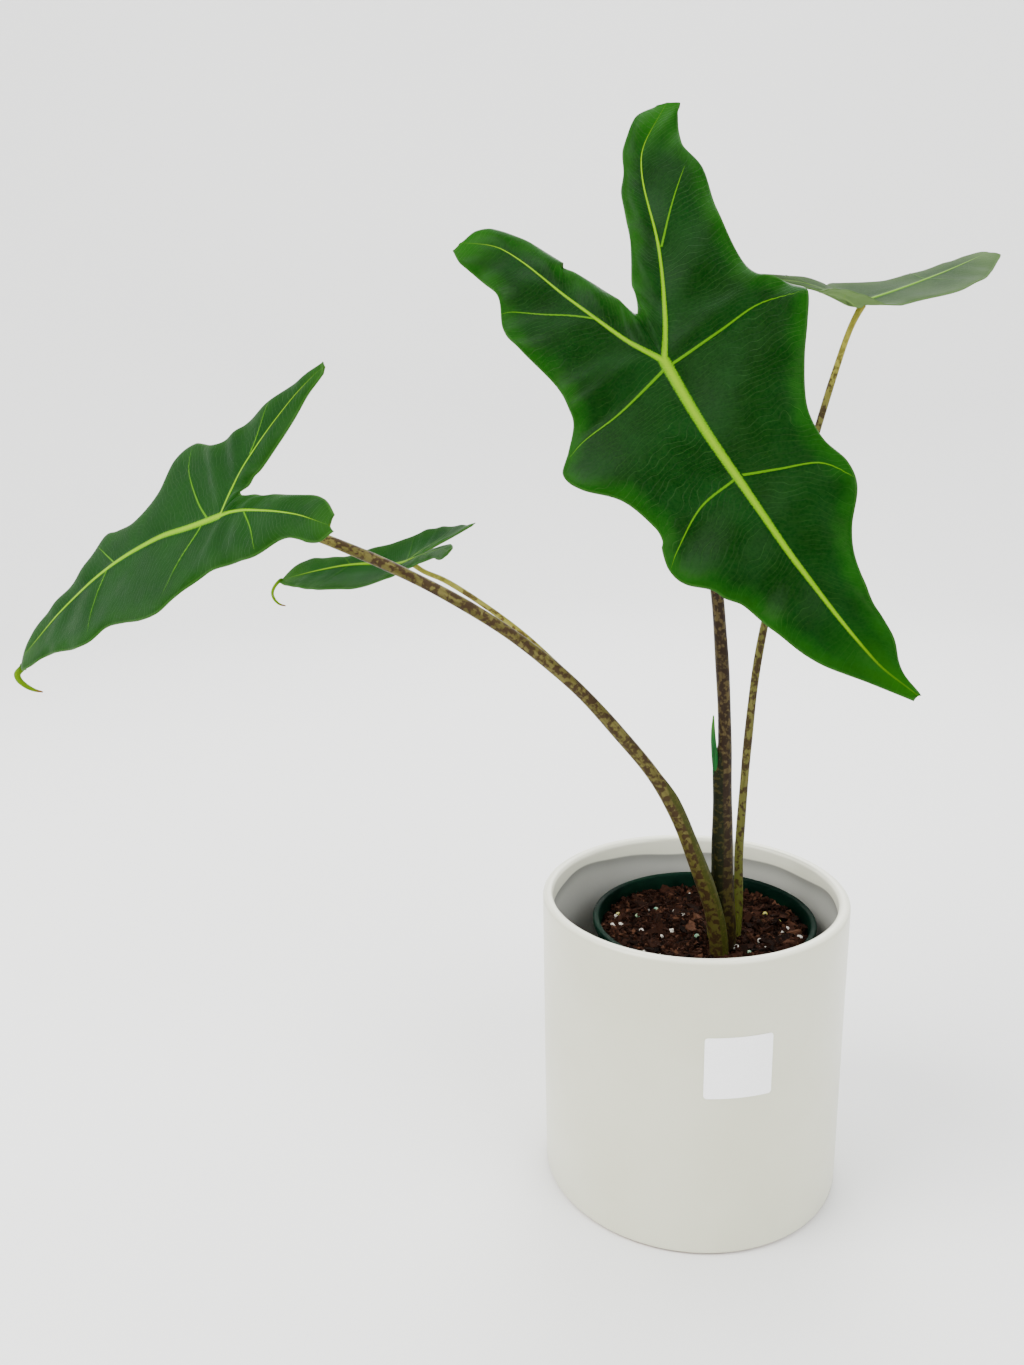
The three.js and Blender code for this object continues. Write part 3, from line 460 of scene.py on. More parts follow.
def flat_blade(blade, columns):
    """Four strips between the skeleton and the margins, joined: flat points with the root, the
    share of the way out, the half and whether it is the inner strip, then quads and margins."""
    front = blade.length * np.linspace(0, 1, columns) ** 1.15
    back = -blade.lobe * np.linspace(0, 1, round(0.7 * columns)) ** 1.1
    roots = np.r_[back[:0:-1], front]
    out_stops = np.r_[0, 0.012, 0.03, 0.055, np.linspace(0.09, 0.94, 17), 0.965, 0.985, 1]
    in_stops = np.r_[0, 0.03, 0.08, np.linspace(0.16, 0.88, 8), 0.95, 0.98, 1]
    flats, faces, info = [], [], []
    count = 0
    for sign, side in ((1, blade.left), (-1, blade.right)):
        for inner, margin, own_roots, stops in ((0, side.outer, roots, out_stops),
                                                (1, side.inner, back[::-1], in_stops)):
            grid = strip(blade, side, margin, own_roots, stops)
            v, root = np.meshgrid(stops, own_roots)
            flats.append(grid.reshape(-1, 2))
            info.append(np.stack([root, v, 0 * v + sign, 0 * v + inner], 2).reshape(-1, 4))
            quads = np.array(grid_faces(*grid.shape[:2]))
            corners = flats[-1][quads]
            a, b = corners[:, 2] - corners[:, 0], corners[:, 3] - corners[:, 1]
            if np.median(a[:, 0] * b[:, 1] - a[:, 1] * b[:, 0]) < 0:
                quads = quads[:, ::-1]
            faces.append(quads + count)
            count += v.size
    flats, info = np.concatenate(flats), np.concatenate(info)
    _, first, index = np.unique(np.round(flats, 4), True, True, axis=0)
    left, right = blade.left, blade.right
    margins = np.r_[through(left.outer, roots), through(right.outer, roots)[::-1],
                    through(right.inner, back[::-1]), through(left.inner, back)]
    return flats[first], info[first].T, index.reshape(-1)[np.concatenate(faces)], margins


def blade_ribs(blade, flat):
    """Distance to the nearest of the midrib and the two lobe ribs, and that rib's width."""
    to_rib, rib_width = np.full(len(flat), 1e9), np.ones(len(flat))
    fine = np.linspace(0, 1, 90)
    for line, end, wide, taper, power in (
            (blade.midrib, blade.length, 2.5, 0.92, 1.1),
            (blade.left.rib, -blade.lobe, 1.6, 0.95, 0.55),
            (blade.right.rib, -blade.lobe, 1.6, 0.95, 0.55)):
        distance, _, along = nearest(flat, through(line, end * fine))
        width = wide * (1 - taper * along**power)
        closer = distance / width < to_rib / rib_width
        to_rib = np.where(closer, distance, to_rib)
        rib_width = np.where(closer, width, rib_width)
    return to_rib, rib_width


def blade_veins(blade, flat, thickness):
    """Signed distances to the six side veins, in half widths of each."""
    veins = []
    for side in (blade.left, blade.right):
        for points, width in zip(side.veins, VEIN_WIDTHS):
            at = (len(points) - 1) * np.linspace(0, 1, 90)[::3]
            rows = np.c_[range(len(points)), points]
            distance, hand, along = nearest(flat, through(rows, at))
            width = width * thickness * (1 - along) ** 0.7 + 0.03
            veins.append(distance * hand / np.where(along > 0, width, 0.03))
    return veins


def add_blade(name):
    """A blade: a waved sheet with ribs below it and raised veins above."""
    blade = BLADES[name]
    scale = blade.scale
    flat, (root, v, sign, inner), faces, margins = flat_blade(blade, 220 if scale == 1 else 150)
    to_rib, rib_width = blade_ribs(blade, flat)
    rib_width = rib_width * blade.rib_width / scale
    veins = blade_veins(blade, flat, blade.rib_width / scale)
    to_edge, _, _ = nearest(flat, margins[::2])

    # The phase is a whole number at each marked side vein, so that the sheet swells between them.
    marks = [-blade.lobe, *blade.marks, blade.length]
    phase = np.interp(root, marks, range(len(marks)))
    reach = np.where(root >= 0, root / blade.length, -root / blade.lobe)
    swell = blade.swell * 2 * v * (1 - v) * (1 - np.cos(TURN * phase))
    wave = blade.wave * v**2 * np.sin(TURN * phase + sign) * np.where(inner, 0.2, 1)
    sheet = blade_points(blade, flat, (swell + wave) * (1 - reach**4))

    a, b, c, d = sheet[faces].transpose(1, 0, 2)
    cross = np.cross(c - a, d - b)
    normals = np.zeros_like(sheet)
    for k in range(4):
        np.add.at(normals, faces[:, k], cross)
    normals /= np.maximum(np.linalg.norm(normals, axis=1), 1e-12)[:, None]

    rib = to_rib / rib_width
    side_vein = np.min(np.abs(veins), axis=0)
    ridge = 0.45 * np.exp(-(rib**2)) * np.minimum(1, rib_width * scale / 1.5)
    ridge += 0.22 * np.exp(-(side_vein**2)) * (rib > 1)
    drop = 0.9 * np.exp(-to_edge * scale / 1.5) * scale**0.5
    under_rib = RIB_DEPTH * math.sqrt(scale) * (1 - 0.85 * reach)
    under_rib *= np.maximum(0, 1 - (to_rib * scale / (RIB_REACH * scale**0.5)) ** 2) ** 0.8
    thickness = np.interp(to_edge * scale, [0, 2], [EDGE_THICKNESS, BLADE_THICKNESS])
    upper = sheet + normals * (ridge - drop)[:, None]
    lower = sheet - normals * (thickness + under_rib + drop)[:, None]

    count = len(flat)
    body = [list(dict.fromkeys(f)) for f in faces.tolist()]
    body = closed([f for f in body if len(f) > 2], count)
    layers = dict(rib=rib, edge=to_edge * scale, root=root, reach=reach,
                  flat=np.c_[flat, v * 0] * scale, veins_left=np.transpose(veins[:3]),
                  veins_right=np.transpose(veins[3:]))
    layers = {key: np.r_[values, values] for key, values in layers.items()}
    add_piece("leaf_" + name, np.r_[upper, lower], body, leaf_material(name),
              LEAF_PAINTS[name][0], "blade_" + name, under=np.repeat([0, 1], count), **layers)


# Each leaf: slot, colours (deep, fresh_and_sheen, edge, vein, hair, under), roughness, share of the edge
# colour, shine and how bright the ribs of the lobes are.
LEAF_PAINTS = {
    "front": ["leaf_dark", (1, 32, 0), (6, 42, 7), (18, 70, 0), (106, 141, 0), (48, 84, 34),
        (66, 96, 34), 0.34, 0.6, 0.03, 1.0],
    "left": ["leaf_mid", (2, 42, 2), (8, 50, 6), (24, 66, 4), (112, 150, 0), (48, 84, 30),
        (66, 98, 42), 0.4, 0.3, 0.03, 1.0],
    "back_left": ["leaf_mid", (3, 40, 3), (10, 50, 8), (30, 66, 4), (94, 128, 0), (46, 82, 32),
        (66, 98, 42), 0.4, 0.3, 0.02, 0.3],
    # painted sheen: the right leaf's grey-green colours stand in for the reflection on its face, with its
    # shine kept very low
    "right": ["leaf_grey", (38, 56, 32), (50, 68, 42), (72, 94, 52), (96, 130, 40),
        (78, 102, 60), (88, 112, 66), 0.5, 0.3, 0.008, 0.5],
}


def leaf_material(name):
    """Glossy leaf: deep colour inside, fresher towards the margin, bright ribs, fine veins."""
    _, *colours, rough, fringe, shine, lobes = LEAF_PAINTS[name]
    deep, fresh_and_sheen, edge, vein, hair, under = (rgb(*c) for c in colours)
    begin("leaf_" + name)
    flat, root, reach = stored("flat", "Vector"), stored("root"), stored("reach")
    to_edge, below = stored("edge"), stored("under")
    broad, blotch = noise(flat, 0.045, 3), noise(flat, 0.09, 2)
    # broad patches of the fresh_and_sheen colour: a fresher tone that varies, and a painted sheen
    base = mix(step(broad, 0.3, 0.75), deep, fresh_and_sheen)
    near_edge = step(plus(to_edge, times(blotch, -8)), -4, 6, fringe, 0)
    near_tip = step(reach, 0.72, 1, 0, min(1, 0.4 + fringe))
    base = mix(combine("MAXIMUM", near_edge, near_tip), base, edge)
    base = mix(step(to_edge, 0.3, 1.1, 0.6, 0), base, hair)

    wander = times(noise(flat, 0.05, 2), 16)
    ripple = combine("PINGPONG", times(plus(root, wander), 0.42), 0.5)
    fine = step(ripple, 0.43, 0.5)
    visible = step(noise(flat, 0.07, 2), 0.4, 0.65, 0.02, 0.22)
    base = mix(times(fine, visible), base, hair)
    cells = node("TexVoronoi", {"Vector": flat, "Scale": 0.9})["Distance"]
    base = mix(step(cells, 0.2, 0.7, 0, 0.06), base, hair)

    closest = 1e9
    for group in ("veins_left", "veins_right"):
        for part in parts(stored(group, "Vector")):
            closest = combine("MINIMUM", closest, combine("ABSOLUTE", part))
    fray = times(noise(flat, 1.6, 2), 0.5)
    side = step(plus(closest, fray), 0.9, 1.4, 1, 0)
    to_rib = plus(stored("rib"), fray)
    rib = step(to_rib, 1, 1.35, 1, 0)
    bright = combine("MAXIMUM", times(rib, step(root, -14, -2, lobes, 1)),
                     times(side, 0.85 * lobes))
    bright = times(bright, step(reach, 0.76, 0.97, 1, 0.2))
    flank = tuple(np.multiply(vein, (0.42, 0.66, 0.4, 1)))
    top = mix(bright, base, mix(step(to_rib, 0.35, 1.25), vein, flank))
    dim = tuple(np.multiply(under, (0.85, 0.85, 0.85, 1)))
    pale = mix(step(broad, 0.3, 0.7), under, dim)
    pale = mix(times(fine, 0.3), pale, vein)
    pale = mix(times(bright, 0.6), pale, vein)
    height = plus(times(fine, -0.6), times(noise(flat, 0.4, 2), 0.8))
    rough = plus(step(blotch, 0.2, 0.8, rough, rough + 0.1), times(below, 0.2))
    return finish(mix(below, top, pale), rough, (height, 0.35, 0.0004), shine)


# Stalks

# Rows of [x, y, z, diameter] from the rhizome up to the blade.
STALKS = {
    "front": [[16, -12.5, 112.3, 9], [15, -13, 128, 9.6], [13.4, -14, 155, 8.8], [12.4, -15, 177, 7.6],
        [11.6, -16, 198, 7], [10.4, -18, 219, 6.6], [9.5, -19.5, 239, 6.3], [8.2, -21, 259, 6.2],
        [5.3, -24, 288, 6], [1.9, -28, 313, 5.6], [-3.7, -30, 342, 5.2], [-10.5, -31, 371, 5],
        [-17, -32, 393, 4.8], [-21, -34.6, 402, 4.6]],
    "left": [[9, -21, 112.3, 7], [8.6, -21.5, 134, 7.6], [5.6, -22.5, 152, 7.6], [1.4, -24, 166, 7.2],
        [-4, -26, 181, 6.8], [-14.6, -30, 208, 6.5], [-24, -33, 225.5, 6.2], [-40, -37, 247, 5.9],
        [-62, -42, 273, 5.6], [-89, -46, 297, 5.3], [-118, -49, 316.5, 5], [-152, -50, 334, 4.7],
        [-179, -52, 345, 4.4], [-196, -55.5, 348.5, 4.2]],
    "back_left": [[9.5, -4, 112.3, 4.6], [9, -4.5, 134, 4.8], [6.4, -6, 154, 4.4], [2, -8, 173, 4],
        [-9, -11.5, 200.5, 3.7], [-19, -13.5, 218, 3.5], [-36, -16, 241, 3.2], [-58.5, -13, 265.5, 3],
        [-87, -6, 292, 2.7], [-118, 6, 312.3, 2.5], [-130, 12, 317, 2.4]],
    "right": [[20, -3, 112.3, 5], [21.2, -2.5, 128, 5.4], [22.4, -1, 149, 4.8], [22.9, 3, 173, 4.4],
        [25, 8, 201, 4.3], [27.5, 13, 228, 4.2], [32.8, 21, 268, 4], [44, 32, 315, 3.8], [62, 44, 374, 3.5],
        [71, 48, 403.5, 3.2], [78, 50, 424, 3]],
}
NEW_LEAF = [[11.5, -14, 112.3, 2.6], [11, -14.5, 134, 3], [10.2, -15.6, 160, 3.2], [9.5, -17, 180, 3.4],
    [9.5, -18, 199, 3.5], [7.2, -19.4, 216, 3.4], [4.8, -21, 232, 3], [3.6, -21.8, 243, 2.1],
    [3.4, -22.2, 252, 0.7]]
# The open sheath of a stalk: its side as a compass direction, its top and how far it stands.
SHEATHS = {"front": (198, 237, 0.9), "left": (-14, 226, 0.5), "right": (60, 168, 0.2),
           "back_left": (60, 190, 0.25)}
# The drawn-out tips that hang from two blades, as rows of [x, y, z, diameter].
TIPS = {
    "left": [[-329.8, 20.1, 274.3, 2], [-330.2, 21.5, 272.9, 3], [-333.5, 21.9, 269.3, 3.2],
        [-333.3, 22.3, 266.4, 3], [-331.6, 22.7, 264, 2.7], [-329.3, 23.1, 262, 2.3],
        [-326.4, 23.5, 260.4, 1.6], [-323, 23.9, 259.4, 0.7]],
    "back_left": [[-207.7, 64.6, 307, 1.4], [-208.7, 65, 306.7, 1.7], [-212.3, 65.3, 303, 1.7],
        [-213.7, 65.6, 299.5, 1.6], [-212.7, 65.9, 296, 1.5], [-210.3, 66.2, 293.6, 1.2],
        [-207.4, 66.5, 292.7, 0.6]],
}


def curve_through(rows, spacing):
    """Points of a smooth curve through [x, y, z, diameter] rows, their radii and their run."""
    rows = np.asarray(rows, float)
    rows = np.r_[[2 * rows[0] - rows[1]], rows, [2 * rows[-1] - rows[-2]]]
    made = []
    for a, b, c, d in zip(rows, rows[1:], rows[2:], rows[3:]):
        e, f, g = [max(np.linalg.norm((q - p)[:3]) ** 0.5, 1e-4)
                   for p, q in ((a, b), (b, c), (c, d))]
        leave = ((b - a) / e - (c - a) / (e + f) + (c - b) / f) * f
        arrive = ((c - b) / f - (d - b) / (f + g) + (d - c) / g) * f
        steps = max(2, round(np.linalg.norm((c - b)[:3]) / spacing))
        made += [cubic(t, b, leave, c, arrive) for t in np.arange(steps) / steps]
    made = np.array([*made, rows[-2]])
    return made[:, :3], made[:, 3] / 2, distance_along(made[:, :3])


def swept(centres, radii, sides, shape=None):
    """Points and faces of a closed tube. shape gives the share of the radius at each angle."""
    ahead = np.gradient(centres, axis=0)
    side = np.array([1.0, 0, 0])
    turns = TURN * np.arange(sides) / sides
    points = []
    for i, (centre, along) in enumerate(zip(centres, map(unit, ahead))):
        side = unit(side - (side @ along) * along)
        other = np.cross(along, side)
        share = shape(i, turns, side, other) if shape else 1.0
        r = (radii[i] * share * np.ones(sides))[:, None]
        points.append(centre + r * (np.outer(np.cos(turns), side) + np.outer(np.sin(turns), other)))
    rows = len(centres)
    faces = [*grid_faces(rows, sides, wrap=True), tuple(range(sides))[::-1],
             tuple(range((rows - 1) * sides, rows * sides))]
    return np.concatenate(points), faces


def add_stalk(name):
    blade, sides = BLADES[name], 28
    joint = BLADE_THICKNESS + 0.5 * RIB_DEPTH * math.sqrt(blade.scale)
    top_end = np.array(blade.seat) - blade_axes(blade)[2] * joint
    centres, radii, run = curve_through([*STALKS[name], [*top_end, STALKS[name][-1][3]]], 1.6)
    radii = radii * (1 + 0.3 * np.exp(-(run[-1] - run) / 3))
    heading, top, proud = SHEATHS[name]
    facing = math.radians(heading)
    open_to = np.array([math.cos(facing), math.sin(facing), 0])

    def shape(i, turns, side, other):
        height = centres[i][2]
        grown = min(1, 0.5 + (height - 112) / 110)
        size = proud * np.clip((top - height) / 12, 0, 1) ** 0.8 * grown
        towards = np.cos(turns) * (side @ open_to) + np.sin(turns) * (other @ open_to)
        knob = 1 + 0.03 * math.sin(run[i] / 7 + heading)
        return knob * (1 + size * np.clip(towards, 0, 1) ** 3)

    points, faces = swept(centres, radii, sides, shape)
    outwards = points - np.repeat(centres, sides, 0)
    reach = np.linalg.norm(outwards, axis=1) / np.repeat(radii, sides) - 1
    turns = TURN * np.arange(sides) / sides
    skin = np.stack([np.outer(radii, np.cos(turns)), np.outer(radii, np.sin(turns)),
                     np.repeat(run[:, None], sides, 1)], 2).reshape(-1, 3)
    add_piece("stalk_" + name, points, faces, stalk_material(name), STALK_PAINTS[name][0],
              "petiole_" + name, skin=skin, up=np.repeat(run / run[-1], sides),
              sheath=np.clip(reach / proud, 0, 1) * (outwards @ open_to > 0))


# Each stalk: slot, colours (ground, light, crown, mark, foot, sheath), then the cover of the
# marks and their cover at the foot.
STALK_PAINTS = {
    "front": ["stalk_dark", (54, 45, 24), (70, 59, 33), (84, 80, 34), (25, 12, 10),
        (52, 48, 16), (12, 18, 3), 0.64, 0.6],
    "left": ["stalk_dark", (72, 66, 28), (94, 87, 45), (112, 106, 46), (42, 24, 17),
        (66, 62, 26), (48, 52, 14), 0.56, 0.54],
    "back_left": ["stalk_olive", (122, 118, 48), (140, 134, 66), (140, 136, 56), (66, 46, 28),
        (80, 80, 30), (56, 64, 20), 0.42, 0.2],
    "right": ["stalk_olive", (76, 74, 34), (92, 88, 45), (142, 136, 54), (40, 24, 16),
        (68, 72, 24), (52, 62, 16), 0.53, 0.24],
}


def stalk_material(name):
    """Marbled stalk: short dark marks on a lighter ground, greener near the foot."""
    _, *colours, cover, low_cover = STALK_PAINTS[name]
    ground, light, crown, mark, low, wrap = (rgb(*c) for c in colours)
    begin("stalk_" + name)
    skin, up = stored("skin", "Vector"), stored("up")
    streak = noise(skin, (0.5, 0.5, 0.05), 3)
    base = mix(step(streak, 0.35, 0.65), ground, light)
    base = mix(step(up, 0.82, 0.97), base, crown)
    foot = step(up, 0.08, 0.34, 1, 0)
    base = mix(foot, base, low)
    bars = noise(skin, (0.36, 0.36, 0.34), 2, 0.55, 0.3)
    speck = noise(skin, (0.8, 0.8, 0.6), 2)
    pattern = plus(times(bars, 0.8), times(speck, 0.2))
    limit = plus(0.62 - 0.24 * cover, times(foot, 0.24 * (cover - low_cover)))
    dark = step(combine("SUBTRACT", pattern, limit), -0.045, 0.06)
    dark = times(dark, step(up, 0.88, 0.97, 0.84, 0.15))
    dots = mix(step(speck, 0.52, 0.62, 0, 0.7), wrap, low)
    on_sheath = step(stored("sheath"), 0.12, 0.34, 0, 0.92)
    colour = mix(on_sheath, mix(dark, base, mark), dots)
    ridges = noise(skin, (1.2, 1.2, 0.03), 2)
    return finish(colour, step(streak, 0.2, 0.8, 0.38, 0.52), (ridges, 0.25, 0.0005), 0.08)


def add_tips():
    """The thin twisted ends of two blades."""
    begin("leaf_tip")
    up = stored("up")
    colour = mix(step(up, 0, 0.3), rgb(40, 76, 6), rgb(84, 116, 4))
    colour = mix(step(up, 0.78, 0.95), colour, rgb(104, 72, 40))
    grain = noise(position(), 600, 2)
    material = finish(colour, 0.5, (grain, 0.2, 0.0003), 0.05)
    for name, rows in TIPS.items():
        centres, radii, _ = curve_through(rows, 0.6)
        add_piece("leaf_tip_" + name, *swept(centres, radii, 14), material, "leaf_mid",
                  up=np.repeat(np.linspace(0, 1, len(radii)), 14))


def add_new_leaf():
    """The rolled new leaf: a slim spear with the edge of the roll running up it."""
    centres, radii, run = curve_through(NEW_LEAF, 1.2)
    points, faces = swept(centres, radii, 30, lambda i, turns, side, other:
                          0.86 + 0.2 * ((turns / TURN + run[i] / 260) % 1))
    begin("new_leaf_green")
    streak = noise(stored("skin", "Vector"), (0.9, 0.9, 0.05), 3)
    colour = mix(step(streak, 0.3, 0.7), rgb(6, 58, 20), rgb(18, 80, 30))
    colour = mix(step(stored("up"), 0.9, 1), colour, rgb(50, 96, 30))
    add_piece("new_leaf_spear", points, faces, finish(colour, 0.4, (streak, 0.3, 0.0004), 0.1),
              "leaf_mid", "new_leaf", skin=np.c_[points[:, :2], np.repeat(run, 30)],
              up=np.repeat(run / run[-1], 30))


# Pots

OUTER_POT = {"radius": 76, "height": 155, "wall": 5.5, "floor": 9.7, "rim": 2.4, "foot": 3.5}
NURSERY_POT = {"centre": (6.5, 7), "seat": 10, "height": 127, "top": 54.6, "foot": 43,
               "wall": 1.1, "floor": 1.3, "lip": 2, "lip_height": 3}
DRAIN = {"count": 4, "radius": 4, "circle": 31}
LABEL = {"width": 32, "height": 31, "corner": 1.6, "thickness": 0.4, "azimuth": -83, "middle": 102}
GLAZE_EDGE = 146.5


def add_outer_pot():
    """The glazed pot. Its glaze ends inside the rim in a wavy line, with bare clay below."""
    radius, height, wall, floor, rim, foot = OUTER_POT.values()
    inside = radius - wall
    up = np.linspace(foot + 2, height - rim - 2, 44)
    down = np.linspace(height - rim - 1, floor + foot + 2, 60)
    points, faces = turned([
        (0, 0.6), (radius - foot - 6, 0.6), (radius - foot - 4.5, 0),
        *corner(radius - foot, foot, foot, -90, 0, 8), *[(radius, z) for z in up],
        *corner(radius - rim, height - rim, rim, 0, 90, 8),
        *corner(inside + rim, height - rim, rim, 90, 180, 8), *[(inside, z) for z in down],
        *corner(inside - foot, floor + foot, foot, 0, -90, 6), (0, floor)], 224)
    z = points[:, 2]
    turn, radial = polar(points)
    edge = 1.1 * np.sin(3 * turn + 0.9) + 0.9 * np.sin(5 * turn + 2.2) + 0.4 * np.sin(11 * turn)
    below = GLAZE_EDGE + edge - z
    on_inside = (radial < inside + 0.5) & (z > floor + 4)
    bare = np.where(on_inside, np.clip(below / 1.2, 0, 1), 0)
    wobble = 0.12 * np.sin(2 * turn + 0.6) + 0.07 * np.sin(z / 31 + 3 * turn)
    wobble *= np.clip((radial - 40) / 20, 0, 1) * np.where(radial > inside + 1, -1, 1)
    grown = np.minimum(radial + wobble + 0.35 * bare, radius)
    points[:, :2] *= np.where(radial > 1, grown / np.maximum(radial, 1), 1)[:, None]
    add_piece("cachepot_glazed", points, faces, glaze_material(), "glaze", "cachepot",
              bare=np.where(on_inside, below, -9.0))


def glaze_material():
    """Off-white glaze, dull and greyer inside below its edge, with a bare foot."""
    begin("pot_glaze")
    place, below = position(), stored("bare")
    height = parts(place)[2]
    cloud = noise(place, 14, 4)
    inner = step(below, -0.3, 1)
    foot = step(height, 0.0007, 0.0016, 1, 0)
    # painted shadow: a dark band just under the glaze edge inside the pot, fading downwards
    line = times(inner, step(below, 0.6, 8, 0.42, 0))
    colour = mix(step(cloud, 0.3, 0.7), rgb(203, 203, 181), rgb(197, 197, 173))
    for share, tone in (
            (step(noise(place, 160, 1), 0.78, 0.84, 0, 0.5), (170, 164, 148)),
            # painted light: the glaze band on the inside wall above the edge is lightened to (238, 238,
            # 218)
            (step(below, -8.9, -7.5), (238, 238, 218)), (inner, (170, 170, 163)),
            # painted highlight: the rim top is lightened to (228, 228, 208); the (92, 92, 86) line is
            # painted shadow
            (line, (92, 92, 86)), (step(height, 0.1533, 0.1548), (228, 228, 208)),
            (foot, (158, 128, 96))):
        colour = mix(share, colour, rgb(*tone))
    dull = times(combine("MAXIMUM", inner, foot), 0.35)
    rough = plus(step(cloud, 0.3, 0.7, 0.3, 0.38), dull)
    return finish(colour, rough, (noise(place, 420, 2), 0.12, 0.0003),
                  Coat_Weight=0.4, Coat_Roughness=0.22)


def add_nursery_pot():
    (x, y), seat, height, top, foot, wall, floor, lip, lip_height = NURSERY_POT.values()
    up = np.linspace(0, 1, 24)
    points, faces = turned([
        (0, 0), (foot - 1.5, 0),
        *zip(foot + (top - foot) * up, 1.5 + (height - lip_height - 1.5) * up),
        *corner(top + lip - 0.5, height - lip_height + 0.5, 0.5, -90, 0, 3),
        *corner(top + lip - 0.8, height - 0.8, 0.8, 0, 90, 4), (top - wall + 0.4, height),
        *zip(top - wall + (foot - top) * up, height - 0.6 + (floor + 1.6 - height) * up),
        (foot - wall - 1, floor), (0, floor)], 128)
    begin("nursery_green")
    place = position()
    dust = noise(place, 60, 4)
    colour = mix(step(dust, 0.35, 0.75), rgb(0, 17, 10), rgb(6, 32, 21))
    bump = noise(place, 500, 2), 0.2, 0.0002
    material = finish(colour, step(dust, 0.3, 0.7, 0.45, 0.6), bump, 0.04)
    piece = add_piece("nursery_pot_shell", points + [x, y, seat], faces, material,
                      "nursery_plastic", "nursery_pot")
    count, radius, circle = DRAIN.values()
    reach = 2 * floor
    for k in range(count):
        turn = TURN * (k + 0.5) / count
        post, post_faces = turned([(0, -reach), (radius, -reach), (radius, reach), (0, reach)], 24)
        post += [x + circle * math.cos(turn), y + circle * math.sin(turn), seat + floor / 2]
        cutter = new_object(f"drain_{k}", post, post_faces, smooth=False)
        cut = piece.modifiers.new("drain", "BOOLEAN")
        cut.operation, cut.solver, cut.object = "DIFFERENCE", "EXACT", cutter
        graph = bpy.context.evaluated_depsgraph_get()
        mesh = bpy.data.meshes.new_from_object(piece.evaluated_get(graph))
        piece.modifiers.clear()
        piece.data = mesh
        bpy.data.objects.remove(cutter)


def add_label():
    """A blank rounded sticker that follows the curve of the pot."""
    width, height, rounding, thickness, azimuth, middle = LABEL.values()
    flank, bend_from, columns = height / 2 - rounding, width / 2 - rounding, 33
    side = np.array([*corner(bend_from, -flank, rounding, -90, 0, 8),
                     *[(width / 2, z) for z in np.linspace(-flank, flank, 12)[1:-1]],
                     *corner(bend_from, flank, rounding, 0, 90, 8)])
    z = middle + np.repeat(side[:, 1:], columns, 1)
    sheets, back = [], OUTER_POT["radius"] + 0.12
    for r in (back + thickness, back):
        turn = math.radians(azimuth) + np.outer(side[:, 0], np.linspace(-1, 1, columns)) / r
        sheets.append(np.stack([r * np.cos(turn), r * np.sin(turn), z], 2).reshape(-1, 3))
    faces = closed(grid_faces(len(side), columns), z.size)
    begin("label_paper")
    grain = noise(position(), 900, 3)
    colour = mix(step(grain, 0.3, 0.7), rgb(255, 255, 255), rgb(251, 251, 252))
    add_piece("label_paper_face", np.concatenate(sheets), faces,
              finish(colour, 0.55, (grain, 0.15, 0.0001)), "label_paper", "label", smooth=False)


# Soil

SOIL_TOP, SOIL_FOOT, SOIL_RADIUS = 130, 12, 52.4
random = np.random.default_rng(7)


def soil_surface(x, y):
    """Height of the soil, its top with a few waves."""
    swell = 0.8 * np.sin(x / 9 + 1.3) * np.cos(y / 11 - 0.4) + 0.5 * np.sin(x / 4.1 - y / 5.3)
    return SOIL_TOP + (swell + 0.35 * np.sin(x / 1.9 + 2) * np.sin(y / 2.3))


def add_soil_bed():
    rings, sides = 46, 150
    radii = SOIL_RADIUS * np.linspace(0, 1, rings + 1)[:0:-1]
    points, faces = turned([(0, SOIL_FOOT), (42, SOIL_FOOT), *[(r, 0) for r in radii],
                            (0, SOIL_TOP)], sides)
    top = points[sides + 1:-1]
    grain = random.normal(0, 0.35, (rings, sides))[::-1].ravel()
    sag = 1.2 * np.repeat(radii / SOIL_RADIUS, sides) ** 6
    top[:, 2] = soil_surface(top[:, 0], top[:, 1]) + grain - sag
    points[:, :2] += NURSERY_POT["centre"]
    begin("soil_crumb")
    crumb = noise(position(), 260, 5, 0.65)
    colour = mix(step(crumb, 0.35, 0.68), rgb(5, 3, 2), rgb(27, 15, 10))
    add_piece("soil_bed", points, faces, finish(colour, 0.95, (crumb, 0.8, 0.0015), 0.02),
              "bark_soil", "soil")


def spread(count, *columns):
    """Random sizes, a column for each [low, range, power]."""
    return np.stack([low + more * random.random(count) ** power for low, more, power in columns], 1)


def scatter(name, shape, inset, sizes, tilt, jitter, material, smooth=False):
    """Copies of a shape on the soil, each with its own size, turn, roughness and tint."""
    base, base_faces = shape
    radius = (SOIL_RADIUS - inset) * np.sqrt(random.random(len(sizes)))
    turn = TURN * random.random(len(sizes))
    x, y = radius * np.cos(turn), radius * np.sin(turn)
    points, faces, tints = [], [], []
    for at, size in zip(np.stack([x, y, soil_surface(x, y)], 1), sizes):
        start = len(points) * len(base)
        turns = Euler((*random.normal(0, tilt, 2), TURN * random.random())).to_matrix()
        bent = base * (1 + jitter * random.normal(0, 1, base.shape)) * size
        points.append(bent @ np.array(turns).T + at + [0, 0, 0.25 * size[2]])
        faces += [tuple(k + start for k in f) for f in base_faces]
        tints.append(np.full(len(base), random.random()))
    points = np.concatenate(points)
    points[:, :2] += NURSERY_POT["centre"]
    add_piece(name, points, faces, material, "bark_soil", smooth=smooth,
              tint=np.concatenate(tints))


